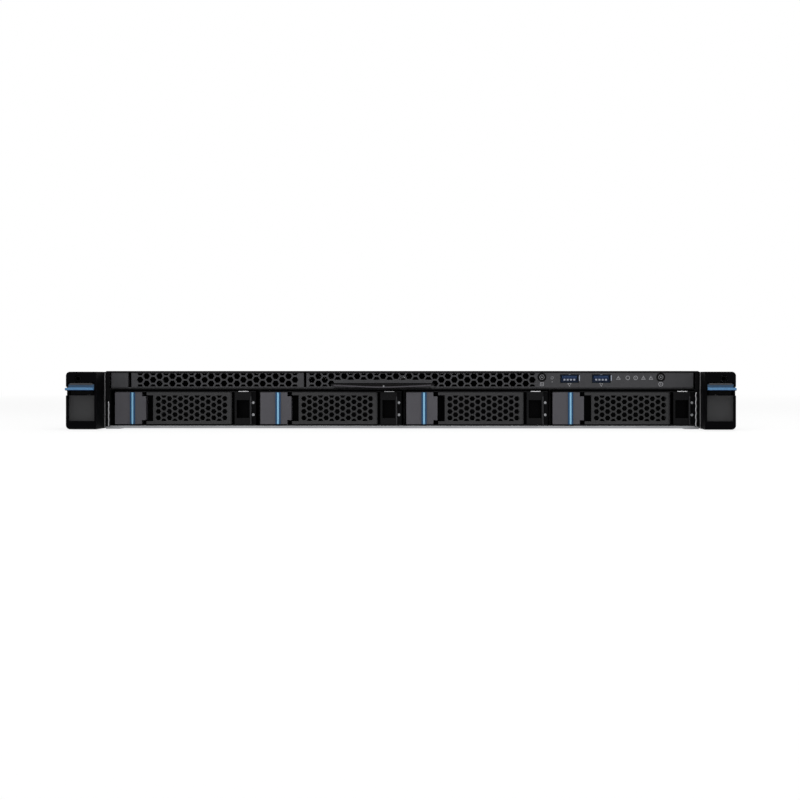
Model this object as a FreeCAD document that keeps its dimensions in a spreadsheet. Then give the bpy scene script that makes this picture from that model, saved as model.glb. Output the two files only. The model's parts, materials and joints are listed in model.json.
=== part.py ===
"""1U rack server with four drive trays, as a parametric FreeCAD document.

Frame: X to the right seen from the front, Y to the rear, Z up, millimetres.
The origin lies on the floor plane, under the centre of the whole machine.
Every piece is drawn in a frame of its own whose y = 0 is the chassis front plane.
"""
import FreeCAD, Part
import os
import re
import Sketcher

# ---------------------------------------------------------------------------------------------
# Driving dimensions: name, value in millimetres (or degrees, or a count of 1), what it sets
# ---------------------------------------------------------------------------------------------
SIZES = [
    ("chassis_width", 438, "outside of the side walls"),
    ("chassis_depth", 650, "front plane to rear plane"),
    ("unit_height", 42.8, "one rack unit less its clearance"),
    ("rack_width", 482.6, "over both ears, 19 inch rack"),
    ("rack_hole_span", 465.1, "between the rack screw holes"),
    ("rack_hole_height", 37.3, "upper rack screw hole above the floor plane"),
    ("rack_hole_radius", 2.6, "clearance for a 10-32 or M5 screw"),
    ("floor_sheet", 1.0, "chassis floor"),
    ("floor_lift", 0.6, "raised strips under the floor's ends"),
    ("skid_width", 10, "width of those strips"),
    ("wall_sheet", 1.2, "chassis side walls"),
    ("hem_depth", 4, "folded lip at the front of the floor"),
    ("hem_rise", 0.7, "thickness of that fold"),
    ("cover_sheet", 0.8, "top covers"),
    ("cover_gap", 0.3, "between the walls and the covers"),
    ("cover_split", 190, "front cover's depth"),
    ("cover_flange", 8, "depth of the covers' side flanges"),
    ("cover_travel", 12, "rearward travel of the top cover"),
    ("press_depth", 0.35, "depth of what is pressed into the top cover"),
    ("thumb_x", 120, "thumb presses, to either side of the middle"),
    ("thumb_width", 60, "thumb press from side to side"),
    ("thumb_first", 24, "thumb presses behind the cover split"),
    ("thumb_length", 14, "thumb press from front to rear"),
    ("bead_half", 170, "half length of the beads across the top cover"),
    ("bead_first", 70, "first bead behind the cover split"),
    ("bead_width", 6, "beads"),
    ("bead_pitch", 130, "between the beads"),
    ("dish_x", -124, "middle of the cover latch and its dish"),
    ("dish_width", 34, "dish of the cover latch"),
    ("dish_length", 72, "dish of the cover latch"),
    ("dish_depth", 6, "dish below the cover's underside"),
    ("dish_back", 16, "dish's end ahead of the rear plane"),
    ("latch_width", 29, "cover latch"),
    ("latch_length", 58, "cover latch ahead of its pivot"),
    ("latch_inset", 5, "latch pivot ahead of the dish's end"),
    ("latch_drop", 2.2, "latch pivot below the cover's underside"),
    ("vent_first", 46, "first side vent behind the cover split"),
    ("vent_width", 6, "side vents"),
    ("vent_pitch", 12, "between the side vents"),
    ("vent_low", 10, "underside of the side vents"),
    ("vent_high", 32, "top of the side vents"),
    ("rear_sheet", 1.0, "rear panel"),
    ("slit_first", -92, "first slit of the rear panel"),
    ("slit_width", 6, "slits of the rear panel"),
    ("slit_pitch", 9, "between those slits"),
    ("slit_low", 29, "underside of those slits"),
    ("slit_high", 38, "top of those slits"),
    ("port_length", 22, "rear ports ahead of the rear plane"),
    ("jack_height", 13.9, "network jacks above the motherboard"),
    ("stack_height", 15.7, "stacked ports above the motherboard"),
    ("screen_height", 10.1, "screen ports above the motherboard"),
    ("seam", 0.3, "clearance between neighbouring pieces"),
    ("stud_radius", 2.6, "slide rail studs"),
    ("stud_reach", 3, "slide rail studs, out of the wall"),
    ("stud_pitch", 220, "between the studs of one side"),
    ("stud_first", 130, "first stud behind the front plane"),
    ("stud_height", 21, "studs above the floor plane"),
    ("bay_pitch", 108, "between the drive trays"),
    ("bay_shift", 1.9, "drive bays, to the right of the middle"),
    ("tray_width", 104.4, "over the side rails"),
    ("tray_low", 2.6, "underside of the trays"),
    ("tray_high", 27.9, "top of the trays"),
    ("tray_sheet", 0.7, "tray flanges above and below the handle"),
    ("tray_face", 14, "depth of the tray's front box"),
    ("rail_sheet", 1.1, "tray side rails"),
    ("rail_length", 150, "tray side rails behind the front box"),
    ("rail_low", 4.4, "underside of the tray side rails"),
    ("rail_high", 22.4, "top of the tray side rails"),
    ("tray_back", 2, "back wall of the tray's front box"),
    ("flange_front", 1.2, "front edge of the tray flanges"),
    ("window_left", -22, "window in the tray's back wall, left side"),
    ("window_right", 30, "window in the tray's back wall, right side"),
    ("play", 0.2, "between the tray's flanges and what moves in it"),
    ("drive_width", 101.6, "3.5 inch drive"),
    ("drive_length", 147, "3.5 inch drive"),
    ("drive_height", 26.1, "3.5 inch drive"),
    ("release_width", 22.9, "release latch, from the tray's left edge"),
    ("release_depth", 9, "release latch"),
    ("rib_width", 2.6, "finger rib on the release latch"),
    ("rib_offset", 12.3, "finger rib's left side from the latch's left side"),
    ("rib_reach", 0.6, "finger rib, out of the latch face"),
    ("handle_left", 28.7, "handle's left end, left of the tray centre"),
    ("handle_right", 34.4, "handle's right end, right of the tray centre"),
    ("handle_plate", 3, "thickness of the handle's grille"),
    ("knuckle_radius", 2.1, "handle hinge knuckle"),
    ("pin_radius", 0.8, "hinge pins of handle and latch lever"),
    ("pin_play", 0.05, "radial play on those pins"),
    ("slot_width", 4.9, "finger slot at the handle's left end"),
    ("window_half", 9.65, "half height of the handle's slot and grille"),
    ("mesh_flats", 3.6, "tray grille cell across its flats"),
    ("mesh_pitch", 4.75, "tray grille cell to cell"),
    ("mesh_first", -20, "first column of the tray grille"),
    ("block_left", 36.6, "tray end block's left side"),
    ("block_right", 48.9, "tray end block's right side"),
    ("pocket_width", 9.4, "pocket in the end block"),
    ("pocket_height", 13.4, "pocket in the end block"),
    ("pocket_depth", 9, "pocket in the end block"),
    ("pocket_drop", 0.6, "pocket's middle below the tray's middle"),
    ("block_front", 0.6, "face of the end block"),
    ("cage_sheet", 1.2, "drive cage side walls"),
    ("divider_sheet", 1.6, "drive cage dividers"),
    ("rivet_gap", 0.05, "hairline joint between riveted plates"),
    ("shelf_height", 29, "underside of the shelf over the drives"),
    ("shelf_sheet", 0.8, "that shelf"),
    ("board_sheet", 1.6, "circuit boards"),
    ("backplane_gap", 5, "drive's end to the backplane"),
    ("panel_low", 30.8, "underside of the upper front panel"),
    ("panel_sheet", 2.4, "thickness of the front panel"),
    ("panel_half", 215, "front panel's ends from the centre"),
    ("end_block", 12.5, "solid block at the panel's left end"),
    ("blank_left", -200.1, "slim bay blank's left side"),
    ("blank_right", -72.2, "slim bay blank's right side"),
    ("panel_left", -70.2, "main part of the panel, left side"),
    ("cell_flats", 4.4, "honeycomb cell across its flats"),
    ("cell_pitch", 5.53, "honeycomb cell to cell"),
    ("comb_first", -66.2, "first honeycomb column of the panel"),
    ("tag_left", -50, "information tag's left side"),
    ("tag_right", 22, "information tag's right side"),
    ("tag_low", 32, "underside of the tag plate"),
    ("tag_sheet", 1, "tag plate"),
    ("tag_length", 74, "tag plate behind the front plane"),
    ("tag_lip", 0.9, "height of the tag's lip"),
    ("tag_sag", 1.4, "how far the lip's middle hangs below its ends"),
    ("power_x", 191.1, "power button"),
    ("marker_x", 103.7, "identification button"),
    ("button_height", 38.2, "both buttons above the floor plane"),
    ("button_radius", 2.3, "both buttons"),
    ("usb_first", 124, "first USB port"),
    ("usb_pitch", 23.4, "between the USB ports"),
    ("usb_width", 13.2, "USB port shell"),
    ("usb_height", 5.8, "USB port shell"),
    ("usb_length", 16, "USB port shell"),
    ("control_low", 33, "underside of the control board"),
    ("control_sheet", 1.2, "control board"),
    ("ear_reach", 28, "ears, ahead of the chassis front plane"),
    ("ear_low", 0.6, "underside of the ears"),
    ("ear_height", 41.6, "ears"),
    ("ear_wall", 1.4, "ear housing"),
    ("ear_face", 3, "front wall of the ear housing"),
    ("ear_sheet", 1.5, "ear bracket"),
    ("ear_round", 3, "radius of the ear's outer edges"),
    ("lever_window_low", 3.6, "lever's window above the ear's middle"),
    ("lever_window_high", 13, "lever's window, its top above the ear's middle"),
    ("plate_drop", 17, "underside of the ear's cover plate below the ear's middle"),
    ("plate_sheet", 1.6, "cover plate of the ear"),
    ("bracket_length", 80, "ear bracket along the chassis side"),
    ("lip_reach", 3.4, "latch lip, ahead of the ear"),
    ("lever_height", 32.5, "latch lever pivot above the floor plane"),
    ("lever_knuckle", 1.4, "latch lever knuckle"),
    ("fan_size", 40, "fan frame"),
    ("fan_depth", 28, "fan frame"),
    ("fan_pitch", 80, "between the fans"),
    ("fan_front", 200, "fans behind the front plane"),
    ("fan_bore", 18.9, "radius of the air passage"),
    ("blade_tip", 17, "outer end of a fan blade from the axis"),
    ("blade_chord", 15, "fan blade across its slant"),
    ("blade_angle", 35, "slant of a fan blade, in degrees"),
    ("blade_sheet", 1.3, "fan blade along the axis"),
    ("shaft_radius", 1.5, "fan shaft"),
    ("arm_depth", 3, "arms and plate that hold the fan motor"),
    ("bracket_sheet", 1, "fan bracket"),
    ("bracket_drop", 0.5, "fan bracket below the wall's top"),
    ("hub_radius", 9.5, "rotor hub"),
    ("board_low", 6, "underside of the motherboard"),
    ("board_front", 246, "front edge of the motherboard"),
    ("board_edge", 2, "motherboard's clearance to the walls and the supply bay"),
    ("memory_front", 272, "memory sockets' front end"),
    ("memory_length", 142, "memory socket"),
    ("memory_height", 6, "memory socket"),
    ("module_rise", 31, "memory modules above the motherboard"),
    ("socket_height", 3, "processor socket"),
    ("chip_height", 4.4, "processor with its lid, above the socket"),
    ("cooler_base", 4, "heat sink's plate"),
    ("fin_height", 20.4, "heat sink's fins"),
    ("fin_sheet", 0.8, "heat sink's fins"),
    ("supply_width", 73.5, "power supply"),
    ("supply_height", 39, "power supply"),
    ("supply_length", 185, "power supply"),
    ("supply_low", 2, "underside of the power supplies"),
    ("supply_right", 216.2, "right side of the outer power supply"),
    ("bay_sheet", 0.8, "power supply bay"),
    ("grip_reach", 24, "power supply handle, behind the rear plane"),
    ("inlet_depth", 16, "well of the power inlet"),
    ("guard_depth", 6, "slits beside the power inlet"),
    ("guard_pitch", 4.9, "between those slits"),
]

# Places worked out from the driving dimensions
PLACES = [
    ("front_y", "ear_reach + lip_reach - (ear_reach + lip_reach + chassis_depth + grip_reach) / 2"),
    ("half_width", "chassis_width / 2"),
    ("inner_x", "half_width - wall_sheet"),
    ("floor_top", "floor_lift + floor_sheet"),
    ("cover_low", "unit_height - cover_sheet"),
    ("wall_top", "cover_low - cover_gap"),
    ("half_tray", "tray_width / 2"),
    ("part_low", "tray_low + tray_sheet + play"),
    ("part_high", "tray_high - tray_sheet - play"),
    ("tray_middle", "(tray_low + tray_high) / 2"),
    ("drive_front", "tray_face + 1"),
    ("drive_end", "drive_front + drive_length"),
    ("backplane_y", "drive_end + backplane_gap"),
    ("cage_out", "inner_x - 0.2"),
    ("cage_in", "cage_out - cage_sheet"),
    ("hinge_x", "handle_right - knuckle_radius"),
    ("mesh_step", "mesh_pitch * sqrt(3) / 2"),
    ("comb_step", "cell_pitch * sqrt(3) / 2"),
    ("panel_high", "cover_low - seam"),
    ("comb_middle", "(panel_low + panel_high) / 2"),
    ("ledge_low", "shelf_height + shelf_sheet + 0.1"),
    ("ear_in", "half_width + seam"),
    ("ear_out", "rack_width / 2"),
    ("ear_high", "ear_low + ear_height"),
    ("ear_middle", "ear_low + ear_height / 2"),
    ("lever_y", "lever_knuckle + 0.4 - ear_reach"),
    ("hole_x", "rack_hole_span / 2"),
    ("dish_end", "chassis_depth - dish_back"),
    ("dish_front", "dish_end - dish_length"),
    ("pivot_y", "dish_end - latch_inset"),
    ("pivot_z", "cover_low - latch_drop"),
    ("fan_low", "floor_top + 0.05"),
    ("fan_middle", "fan_low + fan_size / 2"),
    ("board_top", "board_low + board_sheet"),
    ("supply_y", "chassis_depth - supply_length"),
    ("supply_high", "supply_low + supply_height"),
    ("supply_step", "supply_width + bay_sheet + 2 * seam + 0.1"),
    ("supply_left", "supply_right - supply_step - supply_width"),
    ("bay_left", "supply_left - seam - bay_sheet"),
    ("bay_front", "supply_y - 9"),
]

doc = FreeCAD.newDocument("rack_server")
sheet = doc.addObject("Spreadsheet::Sheet", "Sizes")
for line, (alias, value, meaning) in enumerate(SIZES, start=1):
    sheet.set(f"A{line}", meaning)
    sheet.set(f"B{line}", str(value))
    sheet.setAlias(f"B{line}", alias)
doc.recompute()

places = doc.addObject("App::VarSet", "Places")
OWNER = {alias: "Sizes" for alias, _, _ in SIZES}


def cells(formula):
    """The formula with each size or place given its full name in the document."""
    return re.sub(r"[a-z_]+[a-z]", lambda word: f"{OWNER[word[0]]}.{word[0]}"
                  if word[0] in OWNER else word[0], str(formula))


for place, formula in PLACES:
    places.addProperty("App::PropertyFloat", place)
    places.setExpression(place, cells(formula))
    OWNER[place] = "Places"
doc.recompute()


def number(formula):
    """The value that a formula has now."""
    return float(places.evalExpression(cells(formula)))


# ---------------------------------------------------------------------------------------------
# Outlines: lists of corner points, or a circle
# ---------------------------------------------------------------------------------------------
def rect(left, low, right, high):
    return [(left, low), (right, low), (right, high), (left, high)]


def circle(across, up, radius):
    return ("circle", across, up, radius)


def many_sided(across, up, radius, sides):
    """A regular outline for a round shape that needs few faces."""
    turns = [360 / sides * (k + 0.5) for k in range(sides)]
    return [(f"({across}) + ({radius}) * cos({turn})", f"({up}) + ({radius}) * sin({turn})")
            for turn in turns]


def cell(across, up, flats):
    """A hexagon with a flat at its top and its bottom."""
    side = f"({flats}) / sqrt(3)"
    corners = [(-1, 0), (-0.5, -0.5), (0.5, -0.5), (1, 0), (0.5, 0.5), (-0.5, 0.5)]
    return [(f"{across} + {dx} * {side}", f"{up} + {dz} * ({flats})") for dx, dz in corners]


def cell_part(across, flat_z, cut_z, flats):
    """What is left of such a hexagon between its flat at flat_z and a cut at cut_z."""
    half = f"({flats}) / sqrt(12)"
    wide = f"({half} + abs(({cut_z}) - ({flat_z})) / sqrt(3))"
    return [(f"{across} - {half}", flat_z), (f"{across} + {half}", flat_z),
            (f"{across} + {wide}", cut_z), (f"{across} - {wide}", cut_z)]


PLANES = {"X": "YZ_Plane", "Y": "XZ_Plane", "Z": "XY_Plane"}
pieces = []


class Piece:
    """A PartDesign body built up from sketches square to the X, Y or Z axis."""

    def __init__(self, label, x="0", y="front_y", z="0"):
        self.body = doc.addObject("PartDesign::Body", label)
        self.body.Label = label
        for letter, formula in zip("xyz", (x, y, z)):
            self.body.setExpression(f"Placement.Base.{letter}", cells(formula))
        pieces.append(self.body)

    def origin(self, role):
        return next(item for item in self.body.Origin.OriginFeatures if item.Role == role)

    def sketch(self, axis, at, outlines, centre=("0", "0")):
        """Outlines drawn on the plane square to axis at the place `at`."""
        drawing = self.body.newObject("Sketcher::SketchObject", "outline")
        drawing.AttachmentSupport = [(self.origin(PLANES[axis]), "")]
        drawing.MapMode = "FlatFace"
        sign = "-" if axis == "Y" else ""
        drawing.setExpression("AttachmentOffset.Base.x", cells(centre[0]))
        drawing.setExpression("AttachmentOffset.Base.y", cells(centre[1]))
        drawing.setExpression("AttachmentOffset.Base.z", cells(f"{sign}({at})"))
        for outline in outlines:
            if outline[0] == "circle":
                self.draw_circle(drawing, *outline[1:])
            else:
                self.draw_corners(drawing, outline)
        return drawing

    def draw_circle(self, drawing, across, up, radius):
        middle = FreeCAD.Vector(number(across), number(up), 0)
        ring = drawing.addGeometry(Part.Circle(middle, FreeCAD.Vector(0, 0, 1), number(radius)))
        self.measure(drawing, "DistanceX", (-1, 1, ring, 3), across)
        self.measure(drawing, "DistanceY", (-1, 1, ring, 3), up)
        self.measure(drawing, "Radius", (ring,), radius)

    def draw_corners(self, drawing, corners):
        points = [FreeCAD.Vector(number(across), number(up), 0) for across, up in corners]
        count = len(points)
        lines = [Part.LineSegment(points[i], points[(i + 1) % count]) for i in range(count)]
        first = drawing.addGeometry(lines)[0]
        for i in range(count):
            ends = (first + i, 2, first + (i + 1) % count, 1)
            drawing.addConstraint(Sketcher.Constraint("Coincident", *ends))
        for i, (across, up) in enumerate(corners):
            self.measure(drawing, "DistanceX", (-1, 1, first + i, 1), across)
            self.measure(drawing, "DistanceY", (-1, 1, first + i, 1), up)

    def measure(self, drawing, kind, ends, formula):
        index = drawing.addConstraint(Sketcher.Constraint(kind, *ends, number(formula)))
        drawing.setExpression(f"Constraints[{index}]", cells(formula))

    def feature(self, kind, axis, start, end, outlines):
        item = self.body.newObject(f"PartDesign::{kind}", kind)
        item.Profile = self.sketch(axis, start, outlines)
        item.setExpression("Length", cells(f"({end}) - ({start})"))
        item.Reversed = (axis == "Y") == (kind == "Pad")
        self.body.Tip = item
        return item

    def pad(self, axis, start, end, *outlines):
        """Material between two places on the axis."""
        return self.feature("Pad", axis, start, end, outlines)

    def cut(self, axis, start, end, *outlines):
        """Material taken away between two places on the axis."""
        return self.feature("Pocket", axis, start, end, outlines)

    def row(self, item, axis, step, count, axis2=None, step2="0", count2=1):
        """The feature repeated along one axis, or along two."""
        rows = self.body.newObject("PartDesign::LinearPattern", "row")
        rows.Originals = [item]
        rows.Direction = (self.origin(f"{axis}_Axis"), [""])
        rows.setExpression("Length", cells(f"({step}) * {count - 1}"))
        rows.Occurrences = count
        if axis2:
            rows.Direction2 = (self.origin(f"{axis2}_Axis"), [""])
            rows.setExpression("Length2", cells(f"({step2}) * {count2 - 1}"))
            rows.Occurrences2 = count2
        self.body.Tip = rows
        return rows

    def ring(self, item, axis, count):
        """The feature repeated round one of the body's own axes."""
        polar = self.body.newObject("PartDesign::PolarPattern", "ring")
        polar.Originals = [item]
        polar.Axis = (self.origin(f"{axis}_Axis"), [""])
        polar.Angle = 360
        polar.Occurrences = count
        self.body.Tip = polar
        return polar

    def round_edges(self, radius, chosen):
        """Rounds the edges of the solid so far for which chosen(edge) is true."""
        doc.recompute()
        base = self.body.Tip
        names = [f"Edge{i}" for i, edge in enumerate(base.Shape.Edges, start=1) if chosen(edge)]
        item = self.body.newObject("PartDesign::Fillet", "rounded")
        item.Base = (base, names)
        item.setExpression("Radius", cells(radius))
        self.body.Tip = item
        return item


def along(edge, axis):
    """Whether an edge runs straight along the axis."""
    size = edge.BoundBox
    spans = {"X": size.XLength, "Y": size.YLength, "Z": size.ZLength}
    across = [span for name, span in spans.items() if name != axis]
    return spans[axis] > 0.01 and max(across) < 0.01


# ---------------------------------------------------------------------------------------------
# Chassis, covers and rear
# ---------------------------------------------------------------------------------------------
def make_chassis():
    pan = Piece("chassis")
    profile = [("-half_width", "0"), ("skid_width - half_width", "0"),
               ("skid_width - half_width", "floor_lift"), ("half_width - skid_width", "floor_lift"),
               ("half_width - skid_width", "0"), ("half_width", "0"), ("half_width", "wall_top"),
               ("inner_x", "wall_top"), ("inner_x", "floor_top"), ("-inner_x", "floor_top"),
               ("-inner_x", "wall_top"), ("-half_width", "wall_top")]
    pan.pad("Y", "0", "chassis_depth", profile)
    pan.pad("Y", "0", "hem_depth",
            rect("seam - cage_in", "floor_top", "cage_in - seam", "floor_top + hem_rise"))
    vent = pan.cut("X", "-half_width - 1", "half_width + 1",
                   rect("cover_split + vent_first", "vent_low",
                        "cover_split + vent_first + vent_width", "vent_high"))
    pan.row(vent, "Y", "vent_pitch", 4)
    for side in (1, -1):
        ends = sorted([f"{side} * (half_width - 0.4)", f"{side} * (half_width + stud_reach)"], key=number)
        stud = pan.pad("X", *ends, many_sided("stud_first", "stud_height", "stud_radius", 16))
        pan.row(stud, "Y", "stud_pitch", 3)


def cover_profile():
    """A plate with a flange turned down inside each side wall."""
    flange = "cover_low - cover_flange"
    outside = "inner_x - seam"
    inside = "inner_x - seam - cover_sheet"
    right = [("half_width", "cover_low"), (outside, "cover_low"), (outside, flange),
             (inside, flange), (inside, "cover_low")]
    left = [(f"-({across})", up) for across, up in reversed(right)]
    return [("half_width", "unit_height")] + right + left + [("-half_width", "unit_height")]


def make_covers():
    front = Piece("front_cover")
    front.pad("Y", "0", "cover_split", cover_profile())

    cover = Piece("top_cover")
    cover.pad("Y", "cover_split + seam", "chassis_depth", cover_profile())
    cover.cut("Y", "chassis_depth - cover_travel - 4", "chassis_depth",
              rect("-half_width - 1", "cover_low - cover_flange - 1", "half_width + 1", "cover_low"))
    low = "cover_low - dish_depth"
    cover.pad("Z", low, "cover_low",
              rect("dish_x - dish_width / 2", "dish_front", "dish_x + dish_width / 2", "dish_end"))
    cover.cut("Z", f"{low} + cover_sheet", "unit_height",
              rect("dish_x - dish_width / 2 + cover_sheet", "dish_front + cover_sheet",
                   "dish_x + dish_width / 2 - cover_sheet", "dish_end - cover_sheet"))
    reach = "(dish_width - cover_sheet) / 2"
    cover.pad("X", f"dish_x - {reach}", f"dish_x + {reach}", circle("pivot_y", "pivot_z", "pin_radius"))
    thumb = cover.cut("Z", "unit_height - press_depth", "unit_height",
                      rect("-thumb_x - thumb_width / 2", "cover_split + thumb_first",
                           "thumb_width / 2 - thumb_x", "cover_split + thumb_first + thumb_length"))
    cover.row(thumb, "X", "2 * thumb_x", 2)
    bead = cover.cut("Z", "unit_height - press_depth", "unit_height",
                     rect("-bead_half", "cover_split + bead_first",
                          "bead_half", "cover_split + bead_first + bead_width"))
    cover.row(bead, "Y", "bead_pitch", 3)

    lever = Piece("cover_latch")
    left = "dish_x - latch_width / 2"
    right = "dish_x + latch_width / 2"
    front_end = "pivot_y - latch_length"
    top = "cover_low + 0.4"
    knuckle = "2"
    lever.pad("Z", "cover_low - 3.2", top, rect(left, front_end, right, "pivot_y"))
    lever.pad("X", left, right, circle("pivot_y", "pivot_z", knuckle))
    lever.cut("Z", "cover_low - 1.4", top,
              rect("dish_x - 9", f"{front_end} + 5", "dish_x + 9", f"{front_end} + 23"))
    lever.cut("X", left, right, circle("pivot_y", "pivot_z", "pin_radius + pin_play"))


# Rear openings: left, low, right, high
JACKS = [("-92", "-75.6"), ("-72", "-55.6"), ("-22", "-5.6")]
STACKS = [("-52", "-38.4"), ("-1", "12.6")]
SCREENS = [("18", "36"), ("40", "58")]


def make_rear():
    panel = Piece("rear_panel")
    back = "chassis_depth - rear_sheet"
    panel.pad("Y", back, "chassis_depth", rect("-inner_x", "floor_top", "bay_left", "wall_top"))
    holes = [rect(left, "board_top + 0.6", right, "board_top + jack_height + seam")
             for left, right in JACKS]
    holes += [rect(left, "board_top + 0.6", right, "board_top + stack_height + seam")
              for left, right in STACKS]
    holes += [rect(left, "board_top + 2", right, "board_top + screen_height + seam")
              for left, right in SCREENS]
    holes.append(rect("-208", "16", "-104", "36"))
    panel.cut("Y", back, "chassis_depth", *holes)
    slit = panel.cut("Y", back, "chassis_depth",
                     rect("slit_first", "slit_low", "slit_first + slit_width", "slit_high"))
    panel.row(slit, "X", "slit_pitch", 17)

    ports = Piece("rear_ports")
    start = "chassis_depth - port_length"
    for left, right in JACKS:
        inner = rect(f"{left} + 2", "board_top + 2.6", f"{right} - 2", "board_top + 11.6")
        ports.pad("Y", start, back,
                  rect(f"{left} + seam", "board_top", f"{right} - seam", "board_top + jack_height"))
        ports.cut("Y", f"{start} + 8", back, inner)
    for left, right in STACKS:
        ports.pad("Y", start, back,
                  rect(f"{left} + seam", "board_top", f"{right} - seam", "board_top + stack_height"))
        mouth = ports.cut("Y", f"{start} + 6", back,
                          rect(f"{left} + 1", "board_top + 1.4", f"{right} - 1", "board_top + 6.8"))
        ports.row(mouth, "Z", "7.4", 2)
        tongue = ports.pad("Y", f"{start} + 5", f"{back} - 1",
                           rect(f"{left} + 2", "board_top + 4", f"{right} - 2", "board_top + 5.6"))
        ports.row(tongue, "Z", "7.4", 2)
    for left, right in SCREENS:
        ports.pad("Y", start, back,
                  rect(f"{left} + seam", "board_top", f"{right} - seam", "board_top + screen_height"))


# ---------------------------------------------------------------------------------------------
# Drive cage, backplane and drives
# ---------------------------------------------------------------------------------------------
def make_cage():
    """A shelf, two side plates and three dividers, riveted with hairline joints."""
    cage = Piece("drive_cage")
    under = "shelf_height - rivet_gap"
    cage.pad("Y", "3", "cover_split", rect("-cage_out", "shelf_height", "cage_out", "shelf_height + shelf_sheet"))
    cage.pad("Y", "0.5", "cover_split", rect("cage_in", "floor_top", "cage_out", under))
    cage.pad("Y", "0.5", "cover_split", rect("-cage_out", "floor_top", "-cage_in", under))
    left = "bay_shift - bay_pitch - divider_sheet / 2"
    divider = cage.pad("Y", "10", "backplane_y - seam",
                       rect(left, "floor_top", f"{left} + divider_sheet", under))
    cage.row(divider, "X", "bay_pitch", 3)

    board = Piece("drive_backplane")
    edge = "cage_in - 1"
    first = "bay_shift - 1.5 * bay_pitch"
    board.pad("Y", "backplane_y", "backplane_y + board_sheet",
              rect(f"-({edge})", "floor_top + 0.1", edge, "shelf_height - 0.2"))
    slot = board.cut("Y", "backplane_y", "backplane_y + board_sheet",
                     rect(f"{first} - 46", "13", f"{first} + 46", "25"))
    board.row(slot, "X", "bay_pitch", 4)
    socket = board.pad("Y", "drive_end + 0.6", "backplane_y - rivet_gap",
                       rect(f"{first} - 16", "4.2", f"{first} + 27", "10"))
    board.row(socket, "X", "bay_pitch", 4)


def bay_x(bay):
    """The middle of a drive bay, counted from the left."""
    return f"bay_pitch * {bay - 1.5} + bay_shift"


def make_drive(bay):
    drive = Piece(f"hard_drive_{bay + 1}", x=bay_x(bay))
    half = "drive_width / 2"
    top = "tray_low + drive_height"
    drive.pad("Z", "tray_low", f"{top} - 1.2", rect(f"-{half}", "drive_front", half, "drive_end"))
    left = f"4 - {half}"
    right = f"{half} - 4"
    drive.pad("Z", f"{top} - 1.2", top,
              [(left, "drive_front + 3"), (right, "drive_front + 3"), (right, "drive_end - 22"),
               (f"{right} - 14", "drive_end - 8"), (f"{left} + 14", "drive_end - 8"), (left, "drive_end - 22")])
    drive.cut("Y", "drive_end - 6", "drive_end", rect("-16.4", "4", "27.4", "10.4"))


def make_tray(bay):
    tray = Piece(f"drive_tray_{bay + 1}", x=bay_x(bay))
    flange = rect("-half_tray", "flange_front", "half_tray", "tray_face")
    low = "tray_low + tray_sheet"
    high = "tray_high - tray_sheet"
    back = "tray_face - tray_back"
    tray.pad("Z", "tray_low", low, flange)
    tray.pad("Z", high, "tray_high", flange)
    tray.pad("Y", back, "tray_face", rect("-half_tray", low, "half_tray", high))
    tray.cut("Y", back, "tray_face",
             rect("window_left", "tray_middle - window_half", "window_right", "tray_middle + window_half"))
    tray.pad("Y", "block_front", back, rect("block_left", low, "block_right", high))
    tray.pad("Y", "1.8", back, rect("block_right", low, "half_tray", high))
    middle = "(block_left + block_right) / 2"
    tray.cut("Y", "block_front", "block_front + pocket_depth",
             rect(f"{middle} - pocket_width / 2", "tray_middle - pocket_drop - pocket_height / 2",
                  f"{middle} + pocket_width / 2", "tray_middle - pocket_drop + pocket_height / 2"))
    tray.pad("Z", low, high, circle("hinge_x", "knuckle_radius", "pin_radius"))
    for side in (1, -1):
        ends = sorted([f"{side} * half_tray", f"{side} * (half_tray - rail_sheet)"], key=number)
        tray.pad("X", *ends, rect("tray_face - 0.2", "rail_low", "tray_face + rail_length", "rail_high"))
    tray.cut("X", "-half_tray", "half_tray", rect("44", "9", "84", "17"), rect("104", "9", "144", "17"))


def make_handle(bay):
    """The swinging grille, with a finger slot left of it and a hinge knuckle at its right."""
    handle = Piece(f"tray_handle_{bay + 1}", x=bay_x(bay))
    low = "tray_middle - window_half"
    high = "tray_middle + window_half"
    handle.pad("Z", "part_low", "part_high", rect("-handle_left", "0", "hinge_x", "handle_plate"))
    handle.pad("Z", "part_low", "part_high", circle("hinge_x", "knuckle_radius", "knuckle_radius"))
    handle.cut("Z", "part_low", "part_high",
               circle("hinge_x", "knuckle_radius", "pin_radius + pin_play"))
    handle.cut("Y", "0", "handle_plate", rect("-handle_left - 1", low, "slot_width - handle_left", high))
    handle.pad("Y", "handle_plate", "handle_plate + 4", rect("-23.4", "13", "-22.2", "18"))
    rows = [f"tray_middle + mesh_pitch * {k}" for k in (-1.5, -0.5, 0.5, 1.5)]
    full = handle.cut("Y", "0", "handle_plate", *[cell("mesh_first", z, "mesh_flats") for z in rows])
    handle.row(full, "X", "2 * mesh_step", 7)
    odd = "mesh_first + mesh_step"
    shapes = [cell(odd, f"tray_middle + mesh_pitch * {k}", "mesh_flats") for k in (-1, 0, 1)]
    shapes += [cell_part(odd, f"tray_middle + {s} * (2 * mesh_pitch - mesh_flats / 2)",
                         f"tray_middle + {s} * 2 * mesh_pitch", "mesh_flats") for s in (1, -1)]
    between = handle.cut("Y", "0", "handle_plate", *shapes)
    handle.row(between, "X", "2 * mesh_step", 6)


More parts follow.
